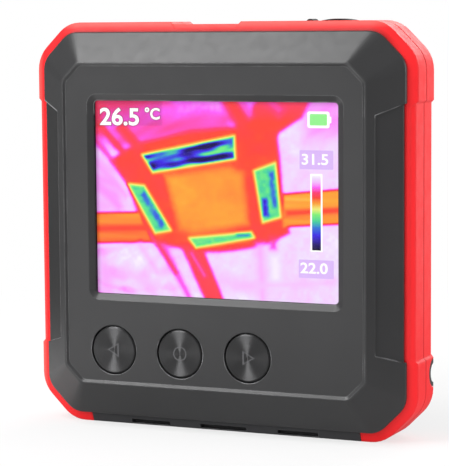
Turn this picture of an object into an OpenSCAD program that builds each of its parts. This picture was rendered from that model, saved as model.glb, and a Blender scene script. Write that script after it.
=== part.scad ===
// Pocket thermal imaging camera. The display looks along -Y, the infrared lens along +Y, and Z is up.
// Depths, called d, run back from the flat display face. Heights, called up, run from the case's centre.

/* [Body] */
// Overall width across the bumper pads
body_w = 89.5; // [88.5:0.5:98]
// Overall height across the bumper pads
body_h = 89.5; // [88.5:0.5:98]
// Depth from the display face to the flat back
case_d = 21.3; // [20.9:0.1:26]
// Wall of both covers at the sides
side_wall = 1.8; // [1.6:0.1:2.2]
// Thickness of the front cover behind its flat face
face_wall = 2; // [1.8:0.1:2.4]
// Thickness of the rear cover's back
back_wall = 1.8; // [1.6:0.1:2]
// Gap between parts that slide into each other
fit_gap = 0.1; // [0.06:0.01:0.14]
// Wall of the rear cover between the covers' joint and the charging socket's opening
part_lip = 1; // [0.8:0.1:1.2]
// Length of the rear cover's tongue inside the front cover
tongue_l = 1.5; // [1.2:0.1:1.7]
// Thickness of the seal in front of the tongue
seal_t = 0.8; // [0.6:0.1:1]

/* [Front cover] */
// Width of the sloped facet between the flat face and the rim
bevel_w = 7; // [6.4:0.1:7.6]
// Depth of the sloped facet
bevel_d = 5.1; // [4.8:0.1:5.5]
// Corner cut of the flat face
face_chamfer = 3.9; // [3:0.1:5]
// Corner cut of the rim
rim_chamfer = 6.3; // [5.6:0.1:7]
// Rounding of the flat face's outline corners
face_round = 1.8; // [1.2:0.1:2.4]
// Rounding of the rim's outline corners
rim_round = 5; // [4:0.1:6]
// How far the flat face sits above the rim's middle
face_up = 0.5; // [0.2:0.1:0.8]
// Width of the edge that stands around the flat face
crest_w = 0.1; // [0.1:0.05:0.3]
// How far the flat face is sunk behind that edge
sink_t = 0.35; // [0.25:0.05:0.45]
// Width of the slope from the edge down to the flat face
sink_w = 0.55; // [0.45:0.05:0.7]
// Rounding radius where the flat face turns into the facets
crease_r = 0.7; // [0.4:0.1:1.2]
// Softening of the rim's front edge
rim_soft = 0.15; // [0.1:0.05:0.3]
// Height of the rim's edge behind the facets
rim_edge = 0.7; // [0.5:0.1:0.9]
// Distance of the thumb recess's upper end from the flat face's upper edge
thumb_top = 8.6; // [7.6:0.1:15]
// Distance of the thumb recess's lower end from the flat face's lower edge
thumb_low = 8.1; // [7.1:0.1:15]
// Depth of the thumb recess, square to the facet
thumb_t = 0.33; // [0.2:0.01:0.45]
// Distance of the thumb recess from the flat face
thumb_start = 1.6; // [1.2:0.1:2.4]
// How far the recess's upper end leans inward
thumb_lean_top = 2.3; // [1:0.1:3]
// How far the recess's lower end leans inward
thumb_lean_low = 1.7; // [0.5:0.1:3]

/* [Bumper] */
// How far the bumper band stands outside the rim
band_out = 1.6; // [1.4:0.1:1.8]
// How far the corner pads stand outside the band
pad_out = 0.55; // [0.4:0.05:0.75]
// Depth of the bumper's front slope
band_slope = 0.95; // [0.7:0.05:1.2]
// How far the bumper reaches in behind the rim
band_in = 1.4; // [1.2:0.1:1.6]
// Height of an upper corner pad on each side
pad_top_h = 16.9; // [15:0.1:22]
// Height of a lower corner pad on each side
pad_low_h = 17.4; // [15.5:0.1:22.5]
// Width of the padless stretch on the top
pad_gap_w = 16.6; // [13:0.2:19]
// Sideways place of the padless stretch on the top
pad_gap_x = -3.6; // [-5:0.1:-2]
// Slope of the pad ends, length per unit of height
pad_ramp = 0.8; // [0.5:0.1:1.2]
// Distance of the groove line behind the rim
groove_back = 6.2; // [5.7:0.1:6.7]
// Width of the groove line
groove_w = 0.5; // [0.4:0.1:0.8]
// Depth of the groove line
groove_t = 0.35; // [0.2:0.05:0.5]
// Length of the bumper's rear edge slope
tail_l = 0.6; // [0.4:0.1:0.8]
// How far the rear edge slope goes in
tail_in = 0.8; // [0.5:0.1:1]

/* [Chin and back] */
// Distance of the chin's ends from the rim's sides
chin_edge = 10.6; // [9.6:0.1:13.6]
// Width of the middle recess in the chin's front
chin_mid_w = 11; // [9:0.5:12]
// Width of the wall on each side of the chin's middle recess
foot_w = 7.4; // [6:0.1:8]
// Width of each outer recess in the chin's front
chin_slot_w = 9.4; // [8:0.2:10]
// Height of the recesses in the chin's front
chin_slot_t = 0.9; // [0.6:0.1:1.2]
// Wall below the recesses in the chin's front
chin_lip = 0.3; // [0.2:0.1:0.5]
// Depth of the recesses in the chin's front
chin_slot_d = 2.2; // [1.8:0.1:2.6]
// Height of the rear rim's edge
back_edge = 0.6; // [0.5:0.1:1]
// Width of the slope around the back
back_bevel_w = 4.2; // [3.6:0.1:4.6]
// Depth of the slope around the back
back_bevel_d = 3; // [2.6:0.1:3.2]

/* [Display] */
// Width of the flat face beside the display's opening
view_side = 7.1; // [6.9:0.1:8.6]
// Height of the flat face above the display's opening
view_top = 8.4; // [8.1:0.1:9.5]
// Height of the flat face below the display's opening
view_bottom = 20.4; // [20.1:0.1:21.5]
// Sideways place of the display
view_x = 0.5; // [0:0.1:0.8]
// Width of the slope around the window
window_slope = 1.5; // [1:0.1:1.7]
// Depth of the slope around the window
window_d = 1.2; // [1:0.1:1.3]
// Corner rounding of the window
window_round = 0.8; // [0.4:0.1:1.5]
// Thickness of the display window
glass_t = 0.8; // [0.7:0.1:1]
// Overlap of the display window behind the opening
glass_lap = 2; // [1.5:0.1:2.4]
// Thickness of the gasket behind the window
gasket_t = 0.3; // [0.2:0.1:0.4]
// Width of the display module's border at the sides
lcd_side = 4.5; // [4:0.1:5]
// Width of the display module's border above and below
lcd_edge = 3.1; // [2.8:0.1:3.2]
// Gap between the display module and the ribs that hold it
rib_gap = 0.15; // [0.1:0.05:0.2]
// Thickness of the ribs that hold the display module
rib_t = 0.9; // [0.7:0.1:1]
// Length of the ribs that hold the display module
rib_l = 20; // [16:1:24]
// Thickness of the display panel
panel_t = 1.1; // [0.9:0.1:1.3]
// Thickness of the backlight tray
tray_t = 1.4; // [1.2:0.1:1.6]
// Wall of the display carrier
carrier_wall = 2; // [1.6:0.1:3]
// Width of the display's flexible cable
flex_w = 14; // [10:0.5:16]
// Thickness of the display's flexible cable
flex_t = 0.2; // [0.15:0.05:0.3]
// Distance of the flexible cable from the display module's side
flex_side = 2.5; // [2:0.1:4]
// Inner place of the cable's bend below the display module
flex_drop = 2.8; // [2.6:0.1:3]
// Radius of the cable's bend
flex_bend = 1.2; // [1:0.1:1.4]
// Height of the cable's connector above the board
connector_t = 1.4; // [1.2:0.1:1.6]
// Front view height of the cable's connector
connector_h = 3.2; // [2.8:0.1:3.4]
// How far the connector is wider than the cable on each side
connector_side = 1; // [0.8:0.1:1.2]

/* [Buttons] */
// Radius of a button cap
button_r = 5.15; // [4.6:0.05:5.4]
// Gap around a button cap
button_gap = 0.35; // [0.3:0.05:0.5]
// Distance between the buttons
button_pitch = 16; // [14.5:0.5:16.5]
// Sideways place of the middle button
button_x = -7.6; // [-9:0.2:-7]
// Distance of the button row from the flat face's lower edge
button_edge = 7.9; // [7.3:0.1:8.3]
// How far a button is pressed in
button_travel = 0.5; // [0.3:0.1:0.6]
// Depth of the dish in a button cap
dish_t = 0.15; // [0.1:0.05:0.3]
// How far a cap's flange reaches past its hole
flange_lap = 0.7; // [0.5:0.1:0.9]
// Thickness of a cap's flange
flange_t = 0.8; // [0.6:0.1:1]
// Radius of the post under a cap
cap_post_r = 1.9; // [1.5:0.1:2.4]
// Width of a switch
switch_w = 6; // [5.2:0.1:6.2]
// Share of the room behind a cap's flange that the switch's case fills
switch_share = 0.55; // [0.5:0.01:0.57]
// Radius of a switch's plunger
plunger_r = 1.7; // [1.4:0.1:1.8]
// Height of the plunger above its switch
plunger_h = 1.2; // [1:0.1:1.4]
// Gap around a plunger in its switch
plunger_gap = 0.25; // [0.2:0.05:0.35]

/* [Main board] */
// Gap between the main board and the side walls
board_side = 2.9; // [2.4:0.1:3.9]
// Gap between the main board and the top and bottom walls
board_edge = 1.6; // [1.4:0.1:1.9]
// Corner cut of the main board
board_chamfer = 12; // [11.8:0.2:13]
// Thickness of the main board
board_t = 1.6; // [1.2:0.1:1.7]
// Distance of the upper board screws from the middle
post_x = 12; // [11.8:0.2:12.4]
// Distance of the board screws from the board's edge
post_edge = 2.6; // [2.4:0.1:3]
// Radius of a board post
post_r = 2.2; // [2:0.1:2.4]
// Shank radius of a board screw
board_screw_r = 0.8; // [0.7:0.05:1]
// Length of a board screw's shank
board_screw_l = 5; // [4:0.5:6]
// Head radius of a board screw
board_head_r = 1.4; // [1.2:0.1:1.6]
// Head height of a board screw
board_head_t = 0.6; // [0.5:0.1:0.7]
// Width of the processor
chip_w = 12; // [10:0.5:13]
// Height of the processor above the board
chip_t = 1.2; // [1:0.1:1.4]
// Distance of the processor's centre from the board's side
chip_side = 14.5; // [14:0.5:15]
// Distance of the processor's centre from the board's top
chip_top = 15.8; // [15:0.2:16.4]
// Width of the memory chip
memory_w = 8; // [7:0.5:9]
// Front view height of the memory chip
memory_h = 6; // [5:0.5:6]
// Gap between the processor and the memory chip
memory_gap = 4; // [2:0.5:4]
// Width of the supply chip
supply_w = 5; // [4:0.5:6]
// Front view height of the supply chip
supply_h = 4; // [3:0.5:4]
// Distance of the supply chip from its board screw
supply_gap = 8; // [7:0.5:9]
// Width of the radio module
radio_w = 7; // [6:0.5:8]
// Distance of the radio module's centre from the board's side
radio_side = 10.5; // [10:0.5:12]
// Height of the smaller chips above the board
small_chip_t = 1; // [0.8:0.1:1.2]

/* [Case screws] */
// Radius of a screw boss
boss_r = 2.8; // [2.5:0.1:2.8]
// Distance of the upper bosses from the inner walls
boss_edge = 5.4; // [5.2:0.1:5.4]
// Distance of the lower bosses from the inner side walls
low_boss_side = 9.4; // [9.2:0.1:9.8]
// Distance of the lower bosses from the inner bottom wall
low_boss_edge = 3.4; // [3.2:0.1:3.6]
// Radius of a threaded insert
insert_r = 1.6; // [1.5:0.05:1.8]
// Length of a threaded insert
insert_l = 4; // [3:0.5:4]
// Shank radius of a case screw
screw_r = 1; // [0.8:0.05:1.1]
// Length of a case screw's shank
screw_l = 9.8; // [9:0.1:10]
// Head radius of a case screw
head_r = 1.9; // [1.7:0.05:2]
// Head height of a case screw
head_t = 1.3; // [1:0.1:1.6]
// Length of rear cover held under a screw head
grip_l = 6.2; // [6:0.1:6.8]

/* [Battery] */
// Distance of the battery from the inner side walls
battery_side = 14.4; // [13.4:0.1:17.4]
// Distance of the battery from the inner bottom wall
battery_edge = 8.4; // [8.2:0.1:10.4]
// Distance of the battery from the sensor board
battery_room = 4.5; // [4.4:0.1:6.5]
// Air between the battery and the main board
battery_air = 1.3; // [1.2:0.1:2]
// Thickness of the battery's adhesive pad
battery_pad_t = 0.3; // [0.2:0.1:0.5]
// How far the adhesive pad stays inside the battery's edge
pad_inset = 3; // [2:0.5:5]
// Corner rounding of the battery
battery_round = 1.5; // [1:0.1:2.5]
// Radius of a battery wire
wire_r = 0.6; // [0.5:0.05:0.7]
// Length of the wires between battery and plug
wire_l = 5; // [4:0.5:5]
// Distance between the two battery wires
wire_gap = 1.6; // [1.4:0.1:2]
// Distance of the battery's wires from the battery's side
wire_side = 7; // [6:0.5:8]
// Width of the battery's plug
plug_w = 6; // [5:0.5:6.5]
// Front view height of the battery's plug
plug_h = 4; // [3.5:0.5:4.5]
// Height of the battery's plug above the board
plug_t = 3; // [2.6:0.1:3.4]

/* [Infrared sensor] */
// Distance of the lens axis from the inner top wall
lens_drop = 21.9; // [21.4:0.1:22.4]
// Height of the connector between the two boards
link_t = 1.2; // [1:0.1:1.4]
// Width of the connector between the two boards
link_w = 14; // [12:0.5:15]
// Front view height of the connector between the two boards
link_h = 5; // [4:0.5:6]
// Width of the sensor board
sensor_w = 20; // [19.6:0.1:20.6]
// Thickness of the sensor board
sensor_t = 1; // [0.8:0.1:1.2]
// Width of the infrared detector
detector_w = 9; // [8:0.1:9.4]
// Thickness of the infrared detector
detector_t = 1.5; // [1.2:0.1:1.6]
// Thickness of the detector's window
detector_window_t = 0.4; // [0.3:0.1:0.5]
// Height of the lens holder's square base
holder_base_t = 2; // [2:0.1:2.2]
// Radius of the lens holder's collar
collar_r = 7.6; // [7.4:0.1:8]
// Radius of the lens holder's nose
nose_r = 6.2; // [6:0.1:6.4]
// Thickness of the seal around the nose
lens_seal_t = 1; // [0.8:0.1:1.2]
// Radius of the germanium lens
lens_r = 4.9; // [4.6:0.1:5.2]
// Edge thickness of the germanium lens
lens_t = 2.2; // [2:0.1:2.3]
// Rise of the lens's curved face
lens_bulge = 0.5; // [0.3:0.05:0.6]
// Width of the ring that holds the lens
ring_lap = 0.9; // [0.7:0.1:1.1]
// Thickness of the ring that holds the lens
ring_t = 0.7; // [0.6:0.1:0.8]
// Outer radius of the lens bezel
bezel_r = 8.9; // [8.5:0.1:10]
// How deep the bezel is let into the back
bezel_set = 0.7; // [0.5:0.1:0.9]
// How far the bezel stands out of the back
bezel_out = 1.2; // [0.8:0.1:1.8]

/* [Charging socket] */
// Sideways place of the charging socket
usb_x = 25.2; // [24.6:0.1:25.8]
// Width of the socket's shell
usb_w = 8.94; // [8.6:0.02:9]
// Thickness of the socket's shell
usb_t = 3.2; // [3:0.05:3.3]
// Length of the socket's shell
usb_l = 7.3; // [6.8:0.1:7.8]
// Sheet thickness of the shell
usb_sheet = 0.3; // [0.2:0.05:0.35]
// Depth of the socket's mouth below the bumper's top
usb_recess = 1.9; // [1.7:0.1:2]
// Length of the socket's tongue
usb_tongue_l = 4.6; // [4:0.1:4.8]
// Thickness of the socket's tongue
usb_tongue_t = 0.7; // [0.6:0.05:0.8]
// Gap between the tongue's sides and the shell
usb_tongue_side = 0.82; // [0.7:0.02:1]
// Thickness of the socket's closed end
usb_end_t = 0.8; // [0.6:0.1:1]
// Gap around the socket's shell
usb_gap = 0.2; // [0.15:0.05:0.25]
// Front to back width of the rubber cover
cover_w = 4.3; // [4.2:0.05:4.4]
// Distance of the rubber cover's opening from the bumper's rear edge
cover_edge = 2.95; // [2.8:0.05:3.1]
// Thickness of the rubber cover's plate
cover_t = 1.6; // [1.5:0.05:1.7]
// Rise of the rubber cover's arched top
cover_arch = 0.4; // [0.2:0.05:0.6]
// Gap around the rubber cover
cover_gap = 0.2; // [0.15:0.05:0.25]
// Radius of the rubber cover's hinge bead
bead_r = 0.9; // [0.8:0.05:1]
// Length of the hinge bead and its neck, front to back
bead_l = 3.2; // [2.6:0.1:3.4]
// Length of the cover's plug inside the socket
plug_l = 0.8; // [0.5:0.1:0.8]

/* [Lanyard] */
// Distance of the lanyard slot's centre from the inner bottom wall
strap_edge = 8.7; // [8.5:0.1:9.3]
// Height of the lanyard slot
strap_h = 4.2; // [3.9:0.1:4.6]
// Wall of the rear cover's rim around the lanyard notch
strap_rim = 0.9; // [0.7:0.05:1]
// Depth of the lanyard tunnel, front to back
strap_d = 2.4; // [2.2:0.1:2.6]
// Width of the lanyard hole in the back
strap_w = 3.2; // [2.8:0.1:3.4]
// Width of the bridge the lanyard goes around
bridge_w = 4.6; // [4.2:0.1:5]

/* [Hidden] */
$fn = 64;
arc_n = 5;
eps = 0.01;
mid_z = body_h / 2;
body_d = case_d + bezel_out;
rim_w = body_w - 2 * (pad_out + band_out);
rim_h = body_h - 2 * (pad_out + band_out);
face_w = rim_w - 2 * bevel_w;
face_h = rim_h - 2 * bevel_w;
bevel_a = atan(bevel_d / bevel_w);
crease_t = crease_r * tan(bevel_a / 2);
flange_d = bevel_d + rim_edge;
back_rim_d = case_d - back_bevel_d - back_edge;
floor_d = case_d - back_wall;
wall_in = band_in + side_wall;
inner_w = rim_w - 2 * wall_in;
inner_h = rim_h - 2 * wall_in;
pad_gap_top = body_h / 2 - pad_top_h;
pad_gap_low = pad_low_h - body_h / 2;
thumb_up = face_up + face_h / 2 - thumb_top;
thumb_down = face_up - face_h / 2 + thumb_low;
chin_w = rim_w - 2 * chin_edge;
// The charging socket's depth sets the board and the joint between the covers
usb_d = back_rim_d - cover_edge - cover_gap - cover_w / 2;
board_back_d = usb_d - usb_t / 2;
board_d = board_back_d - board_t;
part_d = board_back_d - usb_gap - part_lip;
tongue_t = (side_wall - fit_gap) / 2;
shoulder_d = part_d - tongue_l - seal_t;
// Layers behind the display window
gasket_d = window_d + glass_t;
panel_d = gasket_d + gasket_t;
tray_d = panel_d + panel_t;
carrier_d = tray_d + tray_t;
view_w = face_w - 2 * view_side;
view_h = face_h - view_top - view_bottom;
view_up = face_up + (view_bottom - view_top) / 2;
lcd_w = view_w + 2 * lcd_side;
lcd_h = view_h + 2 * lcd_edge;
board_w = inner_w - 2 * board_side;
board_h = inner_h - 2 * board_edge;
// Buttons and switches
hole_r = button_r + button_gap;
button_down = face_h / 2 - face_up - button_edge;
switch_t = (board_d - face_wall - flange_t) * switch_share;
switch_d = board_d - switch_t;
plunger_d = switch_d - plunger_h;
plunger_end = switch_d + plunger_h + button_travel;
button_xs = [button_x - button_pitch, button_x, button_x + button_pitch];
// Board posts and case bosses, as sideways and upward places
posts = [
    [-post_x, board_h / 2 - post_edge],
    [post_x, board_h / 2 - post_edge],
    [button_x - button_pitch / 2, post_edge - board_h / 2],
    [button_x + button_pitch * 1.5, post_edge - board_h / 2]
];
bosses = [
    [boss_edge - inner_w / 2, inner_h / 2 - boss_edge],
    [inner_w / 2 - boss_edge, inner_h / 2 - boss_edge],
    [low_boss_side - inner_w / 2, low_boss_edge - inner_h / 2],
    [inner_w / 2 - low_boss_side, low_boss_edge - inner_h / 2]
];
head_d = part_d + grip_l;
// Flexible cable of the display
flex_x = view_x + lcd_w / 2 - flex_side - flex_w / 2;
flex_up = view_up - lcd_h / 2;
flex_front = panel_d + (panel_t - flex_t) / 3;
// Infrared sensor layers
lens_up = inner_h / 2 - lens_drop;
sensor_d = board_back_d + link_t;
detector_d = sensor_d + sensor_t;
collar_d = floor_d - lens_seal_t;
bezel_d = case_d - bezel_set;
lens_d = bezel_d - ring_t - lens_t;
ring_d = lens_d + lens_t;
aperture_r = lens_r - ring_lap;
sensor_screw_in = 2;
sensor_screw_l = 2.4;
sensor_screw_at = sensor_w / 2 - sensor_screw_in;
sensor_screws_at = [for (s = [-1, 1]) [s * sensor_screw_at, lens_up + s * sensor_screw_at]];
// Battery layers
battery_d = board_back_d + battery_air;
battery_t = floor_d - battery_pad_t - battery_d;
battery_w = inner_w - 2 * battery_side;
battery_top = lens_up - sensor_w / 2 - battery_room;
battery_h = battery_top + inner_h / 2 - battery_edge;
battery_down = battery_h / 2 - battery_top;
plug_up = battery_top + wire_l + plug_h / 2;
wire_x = battery_w / 2 - wire_side;
wire_d = battery_d + wire_r + fit_gap;
// Charging socket and its cover
top_up = body_h / 2;
usb_top = top_up - usb_recess;
ledge_up = top_up - cover_t;
cover_x0 = usb_x - usb_w / 2 - 0.4;
cover_x1 = usb_x + usb_w / 2 + 0.7;
bead_x = cover_x0 - bead_r - cover_gap * 2;
bead_up = top_up - 0.5;
// Lanyard tunnel
strap_down = inner_h / 2 - strap_edge;
strap_x1 = rim_w / 2 - bridge_w - 1.2;
strap_x0 = strap_x1 - strap_w;
strap_d1 = back_rim_d;
strap_d0 = strap_d1 - strap_d;
strap_wall = 1.2;

// Outline of an octagon with its eight corners rounded, counted from the lower right
function octagon(w, h, c, r, rise = 0) = [
    for (i = [0:7])
    let (
        x = [w / 2, w / 2, w / 2 - c, c - w / 2, -w / 2, -w / 2, c - w / 2, w / 2 - c][i],
        up = [c - h / 2, h / 2 - c, h / 2, h / 2, h / 2 - c, c - h / 2, -h / 2, -h / 2][i],
        a = 45 * i - 22.5,
        middle = [x, up + rise] - r / cos(22.5) * [cos(a), sin(a)]
    )
    for (k = [0:arc_n])
    let (t = a + 45 * (k / arc_n - 0.5))
    middle + r * [cos(t), sin(t)]
];

// Outline of the case, moved out from the rim by s
function case_ring(s) = octagon(
    rim_w + 2 * s, rim_h + 2 * s, rim_chamfer + (2 - sqrt(2)) * s, max(rim_round + s, 0.4)
);

// Outline of the front facets, moved out from the flat face by s
function face_ring(s) = octagon(
    face_w + 2 * s, face_h + 2 * s, face_chamfer + (rim_chamfer - face_chamfer) * s / bevel_w,
    face_round + (rim_round - face_round) * max(s, 0) / bevel_w, face_up * (1 - s / bevel_w)
);

// Outline of a rectangle with round corners
function round_box(w, h, r, x = 0, up = 0) = [
    for (q = [0:3])
    let (sx = [1, -1, -1, 1][q], sy = [1, 1, -1, -1][q])
    for (k = [0:arc_n])
    let (t = 90 * (q + k / arc_n))
    [x + sx * (w / 2 - r), up + sy * (h / 2 - r)] + r * [cos(t), sin(t)]
];

// Solid through outlines, each given with its depth
module loft(rings) {
    n = len(rings[0][1]);
    m = len(rings) - 1;
    points = [for (g = rings) for (p = g[1]) [p[0], g[0] - body_d / 2, mid_z + p[1]]];
    front = [[for (i = [n - 1:-1:0]) i]];
    back = [[for (i = [0:n - 1]) m * n + i]];
    sides = [
        for (k = [0:m - 1])
        for (i = [0:n - 1])
        let (j = (i + 1) % n, a = k * n, b = a + n)
        for (f = [[a + i, a + j, b + j], [a + i, b + j, b + i]])
        f
    ];
    polyhedron(points = points, faces = concat(front, back, sides), convexity = 6);
}

// Front view outline carried from one depth to another
module slab(d0, d1) {
    translate([0, d1 - body_d / 2, mid_z])
        rotate([90, 0, 0])
            linear_extrude(d1 - d0)
                children();
}

// Top view outline carried from one height to another
module column(up0, up1) {
    translate([0, -body_d / 2, mid_z + up0])
        linear_extrude(up1 - up0)
            children();
}

// Side view outline, depth and height, carried from one side to another
module across(x0, x1) {
    translate([x0, -body_d / 2, mid_z])
        rotate([90, 0, 90])
            linear_extrude(x1 - x0)
                children();
}

// Turned shape on an axis that runs front to back, from radius and depth points
module turned(x, up, points) {
    translate([x, -body_d / 2, mid_z + up])
        rotate([-90, 0, 0])
            rotate_extrude()
                polygon(points);
}

// Round bar that runs front to back
module bar(x, up, d0, d1, r) {
    translate([x, d0 - body_d / 2, mid_z + up])
        rotate([-90, 0, 0])
            cylinder(h = d1 - d0, r = r);
}

module box_at(x, up, w, h, d0, d1) {
    translate([x - w / 2, d0 - body_d / 2, mid_z + up - h / 2])
        cube([w, d1 - d0, h]);
}

module face_body() {
    crease = [
        for (k = [0:4])
        let (a = bevel_a * k / 4)
        [crease_r * (1 - cos(a)), face_ring(crease_r * sin(a) - crease_t)]
    ];
    rim = [
        [bevel_d * (1 - rim_soft / bevel_w), face_ring(bevel_w - rim_soft)],
        [bevel_d + rim_soft, face_ring(bevel_w)],
        [flange_d, face_ring(bevel_w)]
    ];
    loft(concat(crease, rim));
}

// Shallow sink that leaves the flat face behind its edge
module face_sink() {
    over = 0.2;
    s = -crease_t - crest_w;
    loft([
        [-over, face_ring(s + over * sink_w / sink_t)],
        [sink_t, face_ring(s - sink_w)]
    ]);
}

module thumb_recess() {
    x0 = face_w / 2 + thumb_start;
    d0 = thumb_start * bevel_d / bevel_w;
    side = thumb_t / sin(bevel_a);
    run = bevel_w - thumb_start;
    intersection() {
        column(-body_h, body_h)
            polygon([
                [x0 + sin(bevel_a), d0 - cos(bevel_a)],
                [x0 - thumb_t * sin(bevel_a), d0 + thumb_t * cos(bevel_a)],
                [rim_w / 2 - side, bevel_d],
                [rim_w / 2 - side, flange_d + eps],
                [rim_w / 2 + 3, flange_d + eps],
                [rim_w / 2 + 3, d0 - cos(bevel_a)]
            ]);
        slab(-5, flange_d + 5)
            polygon([
                [rim_w / 2 - 2 * run, thumb_up - 2 * thumb_lean_top],
                [rim_w / 2 + run, thumb_up + thumb_lean_top],
                [rim_w / 2 + run, thumb_down - thumb_lean_low],
                [rim_w / 2 - 2 * run, thumb_down + 2 * thumb_lean_low]
            ]);
    }
}

module front_solid() {
    face_body();
    slab(flange_d - eps, part_d)
        polygon(case_ring(-band_in));
}

module front_fittings() {
    step = 1.2;
    for (p = bosses) {
        bar(p[0], p[1], face_wall - eps, face_wall + step, boss_r - 0.8);
        bar(p[0], p[1], face_wall + step - eps, part_d, boss_r);
    }
    for (p = posts)
        bar(p[0], p[1], face_wall - eps, board_d, post_r);
    for (s = [-1, 1]) {
        box_at(
            view_x, view_up + s * (lcd_h / 2 + rib_gap + rib_t / 2), rib_l, rib_t,
            face_wall - eps, carrier_d
        );
        box_at(
            view_x + s * (lcd_w / 2 + rib_gap + rib_t / 2), view_up, rib_t, rib_l,
            face_wall - eps, carrier_d
        );
    }
}

module window_cut() {
    more = window_slope * (1 + window_d) / (window_d - sink_t);
    loft([
        [-1, round_box(view_w + 2 * more, view_h + 2 * more, window_round + more, view_x, view_up)],
        [window_d, round_box(view_w, view_h, window_round, view_x, view_up)],
        [face_wall + 1, round_box(view_w, view_h, window_round, view_x, view_up)]
    ]);
    box_at(
        view_x, view_up, view_w + 2 * (glass_lap + fit_gap), view_h + 2 * (glass_lap + fit_gap),
        window_d, face_wall + 1
    );
}

module front_cover() {
    inner = (face_wall - face_wall / cos(bevel_a)) * bevel_w / bevel_d;
    reach = bevel_w - wall_in;
    reach_d = face_wall / cos(bevel_a) + reach * bevel_d / bevel_w;
    color([0.16, 0.16, 0.17])
        difference() {
            union() {
                difference() {
                    front_solid();
                    loft([
                        [face_wall, face_ring(inner)],
                        [reach_d, case_ring(-wall_in)],
                        [part_d + 1, case_ring(-wall_in)]
                    ]);
                }
                front_fittings();
            }
            slab(shoulder_d, part_d + 1)
                difference() {
                    polygon(case_ring(-wall_in + tongue_t + fit_gap));
                    polygon(case_ring(-wall_in - eps));
                }
            face_sink();
            window_cut();
            for (x = button_xs)
                bar(x, -button_down, -1, face_wall + 1, hole_r);
            for (p = bosses) {
                bar(p[0], p[1], part_d - insert_l, part_d + 1, insert_r);
                bar(p[0], p[1], head_d - screw_l - 0.4, part_d, screw_r + fit_gap);
            }
            for (p = posts)
                bar(p[0], p[1], board_back_d - board_screw_l - 0.3, board_d + 1, board_screw_r + 0.02);
            thumb_recess();
            mirror([1, 0, 0])
                thumb_recess();
        }
}

module display_window() {
    color([0.5, 0.55, 0.6, 0.4])
        box_at(view_x, view_up, view_w + 2 * glass_lap, view_h + 2 * glass_lap, window_d, gasket_d);
}

module window_gasket() {
    color([0.05, 0.05, 0.05])
        difference() {
            box_at(view_x, view_up, view_w + 2 * glass_lap, view_h + 2 * glass_lap, gasket_d, panel_d);
            box_at(view_x, view_up, view_w + 0.6, view_h + 0.6, gasket_d - 1, panel_d + 1);
        }
}

module lcd_panel() {
    color([0.3, 0.15, 0.4])
        box_at(view_x, view_up, lcd_w, lcd_h, panel_d, tray_d);
}

module lcd_backlight() {
    color([0.85, 0.85, 0.86])
        slab(tray_d, carrier_d)
            polygon(round_box(lcd_w, lcd_h, 1, view_x, view_up));
}

module lcd_carrier() {
    w = lcd_w - 2 * carrier_wall;
    h = (lcd_h - 3 * carrier_wall) / 2;
    color([0.2, 0.2, 0.22])
        slab(carrier_d, board_d)
            difference() {
                polygon(round_box(lcd_w, lcd_h, 1, view_x, view_up));
                for (s = [-1, 1])
                    polygon(round_box(w, h, 1.5, view_x, view_up + s * (h + carrier_wall) / 2));
            }
}

module lcd_flex() {
    o = [flex_front + flex_bend, flex_up - flex_drop + flex_bend];
    color([0.75, 0.5, 0.15])
        across(flex_x - flex_w / 2, flex_x + flex_w / 2)
            polygon(concat(
                [[flex_front, flex_up]],
                [for (a = [180:15:270]) o + flex_bend * [cos(a), sin(a)]],
                [[board_d - connector_t, flex_up - flex_drop]],
                [[board_d - connector_t, flex_up - flex_drop + flex_t]],
                [for (a = [270:-15:180]) o + (flex_bend - flex_t) * [cos(a), sin(a)]],
                [[flex_front + flex_t, flex_up]]
            ));
}

module flex_connector() {
    color([0.9, 0.88, 0.8])
        box_at(
            flex_x, flex_up - flex_drop, flex_w + 2 * connector_side, connector_h,
            board_d - connector_t, board_d
        );
}

module button(x) {
    edge = 0.25;
    flat_r = button_r - 2 * edge;
    dish = [for (k = [0:8]) [flat_r * k / 8, sink_t + dish_t * (1 - k * k / 64)]];
    color([0.22, 0.22, 0.23])
        turned(x, -button_down, concat(dish, [
            [button_r - edge, sink_t],
            [button_r, sink_t + edge],
            [button_r, face_wall],
            [hole_r + flange_lap, face_wall],
            [hole_r + flange_lap, face_wall + flange_t],
            [cap_post_r, face_wall + flange_t],
            [cap_post_r, plunger_d],
            [0, plunger_d]
        ]));
}

module button_left() {
    button(button_xs[0]);
}

module button_ok() {
    button(button_xs[1]);
}

module button_right() {
    button(button_xs[2]);
}

module plunger(x) {
    color([0.85, 0.3, 0.2])
        bar(x, -button_down, plunger_d, switch_d + plunger_h, plunger_r);
}

module plunger_left() {
    plunger(button_xs[0]);
}

module plunger_ok() {
    plunger(button_xs[1]);
}

module plunger_right() {
    plunger(button_xs[2]);
}

module tact_switches() {
    color([0.1, 0.1, 0.1])
        for (x = button_xs)
            difference() {
                box_at(x, -button_down, switch_w, switch_w, switch_d, board_d);
                bar(x, -button_down, switch_d - 1, plunger_end + 0.3, plunger_r + plunger_gap);
            }
}

module main_board() {
    color([0.05, 0.3, 0.15])
        difference() {
            slab(board_d, board_back_d)
                polygon(octagon(board_w, board_h, board_chamfer, 1));
            for (p = posts)
                bar(p[0], p[1], board_d - 1, board_back_d + 1, board_screw_r + 0.1);
            for (p = bosses)
                bar(p[0], p[1], board_d - 1, board_back_d + 1, boss_r + 0.3);
        }
}

module board_screws() {
    color([0.7, 0.7, 0.72])
        for (p = posts) {
            bar(p[0], p[1], board_back_d, board_back_d + board_head_t, board_head_r);
            bar(p[0], p[1], board_back_d - board_screw_l, board_back_d + eps, board_screw_r);
        }
}

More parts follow.
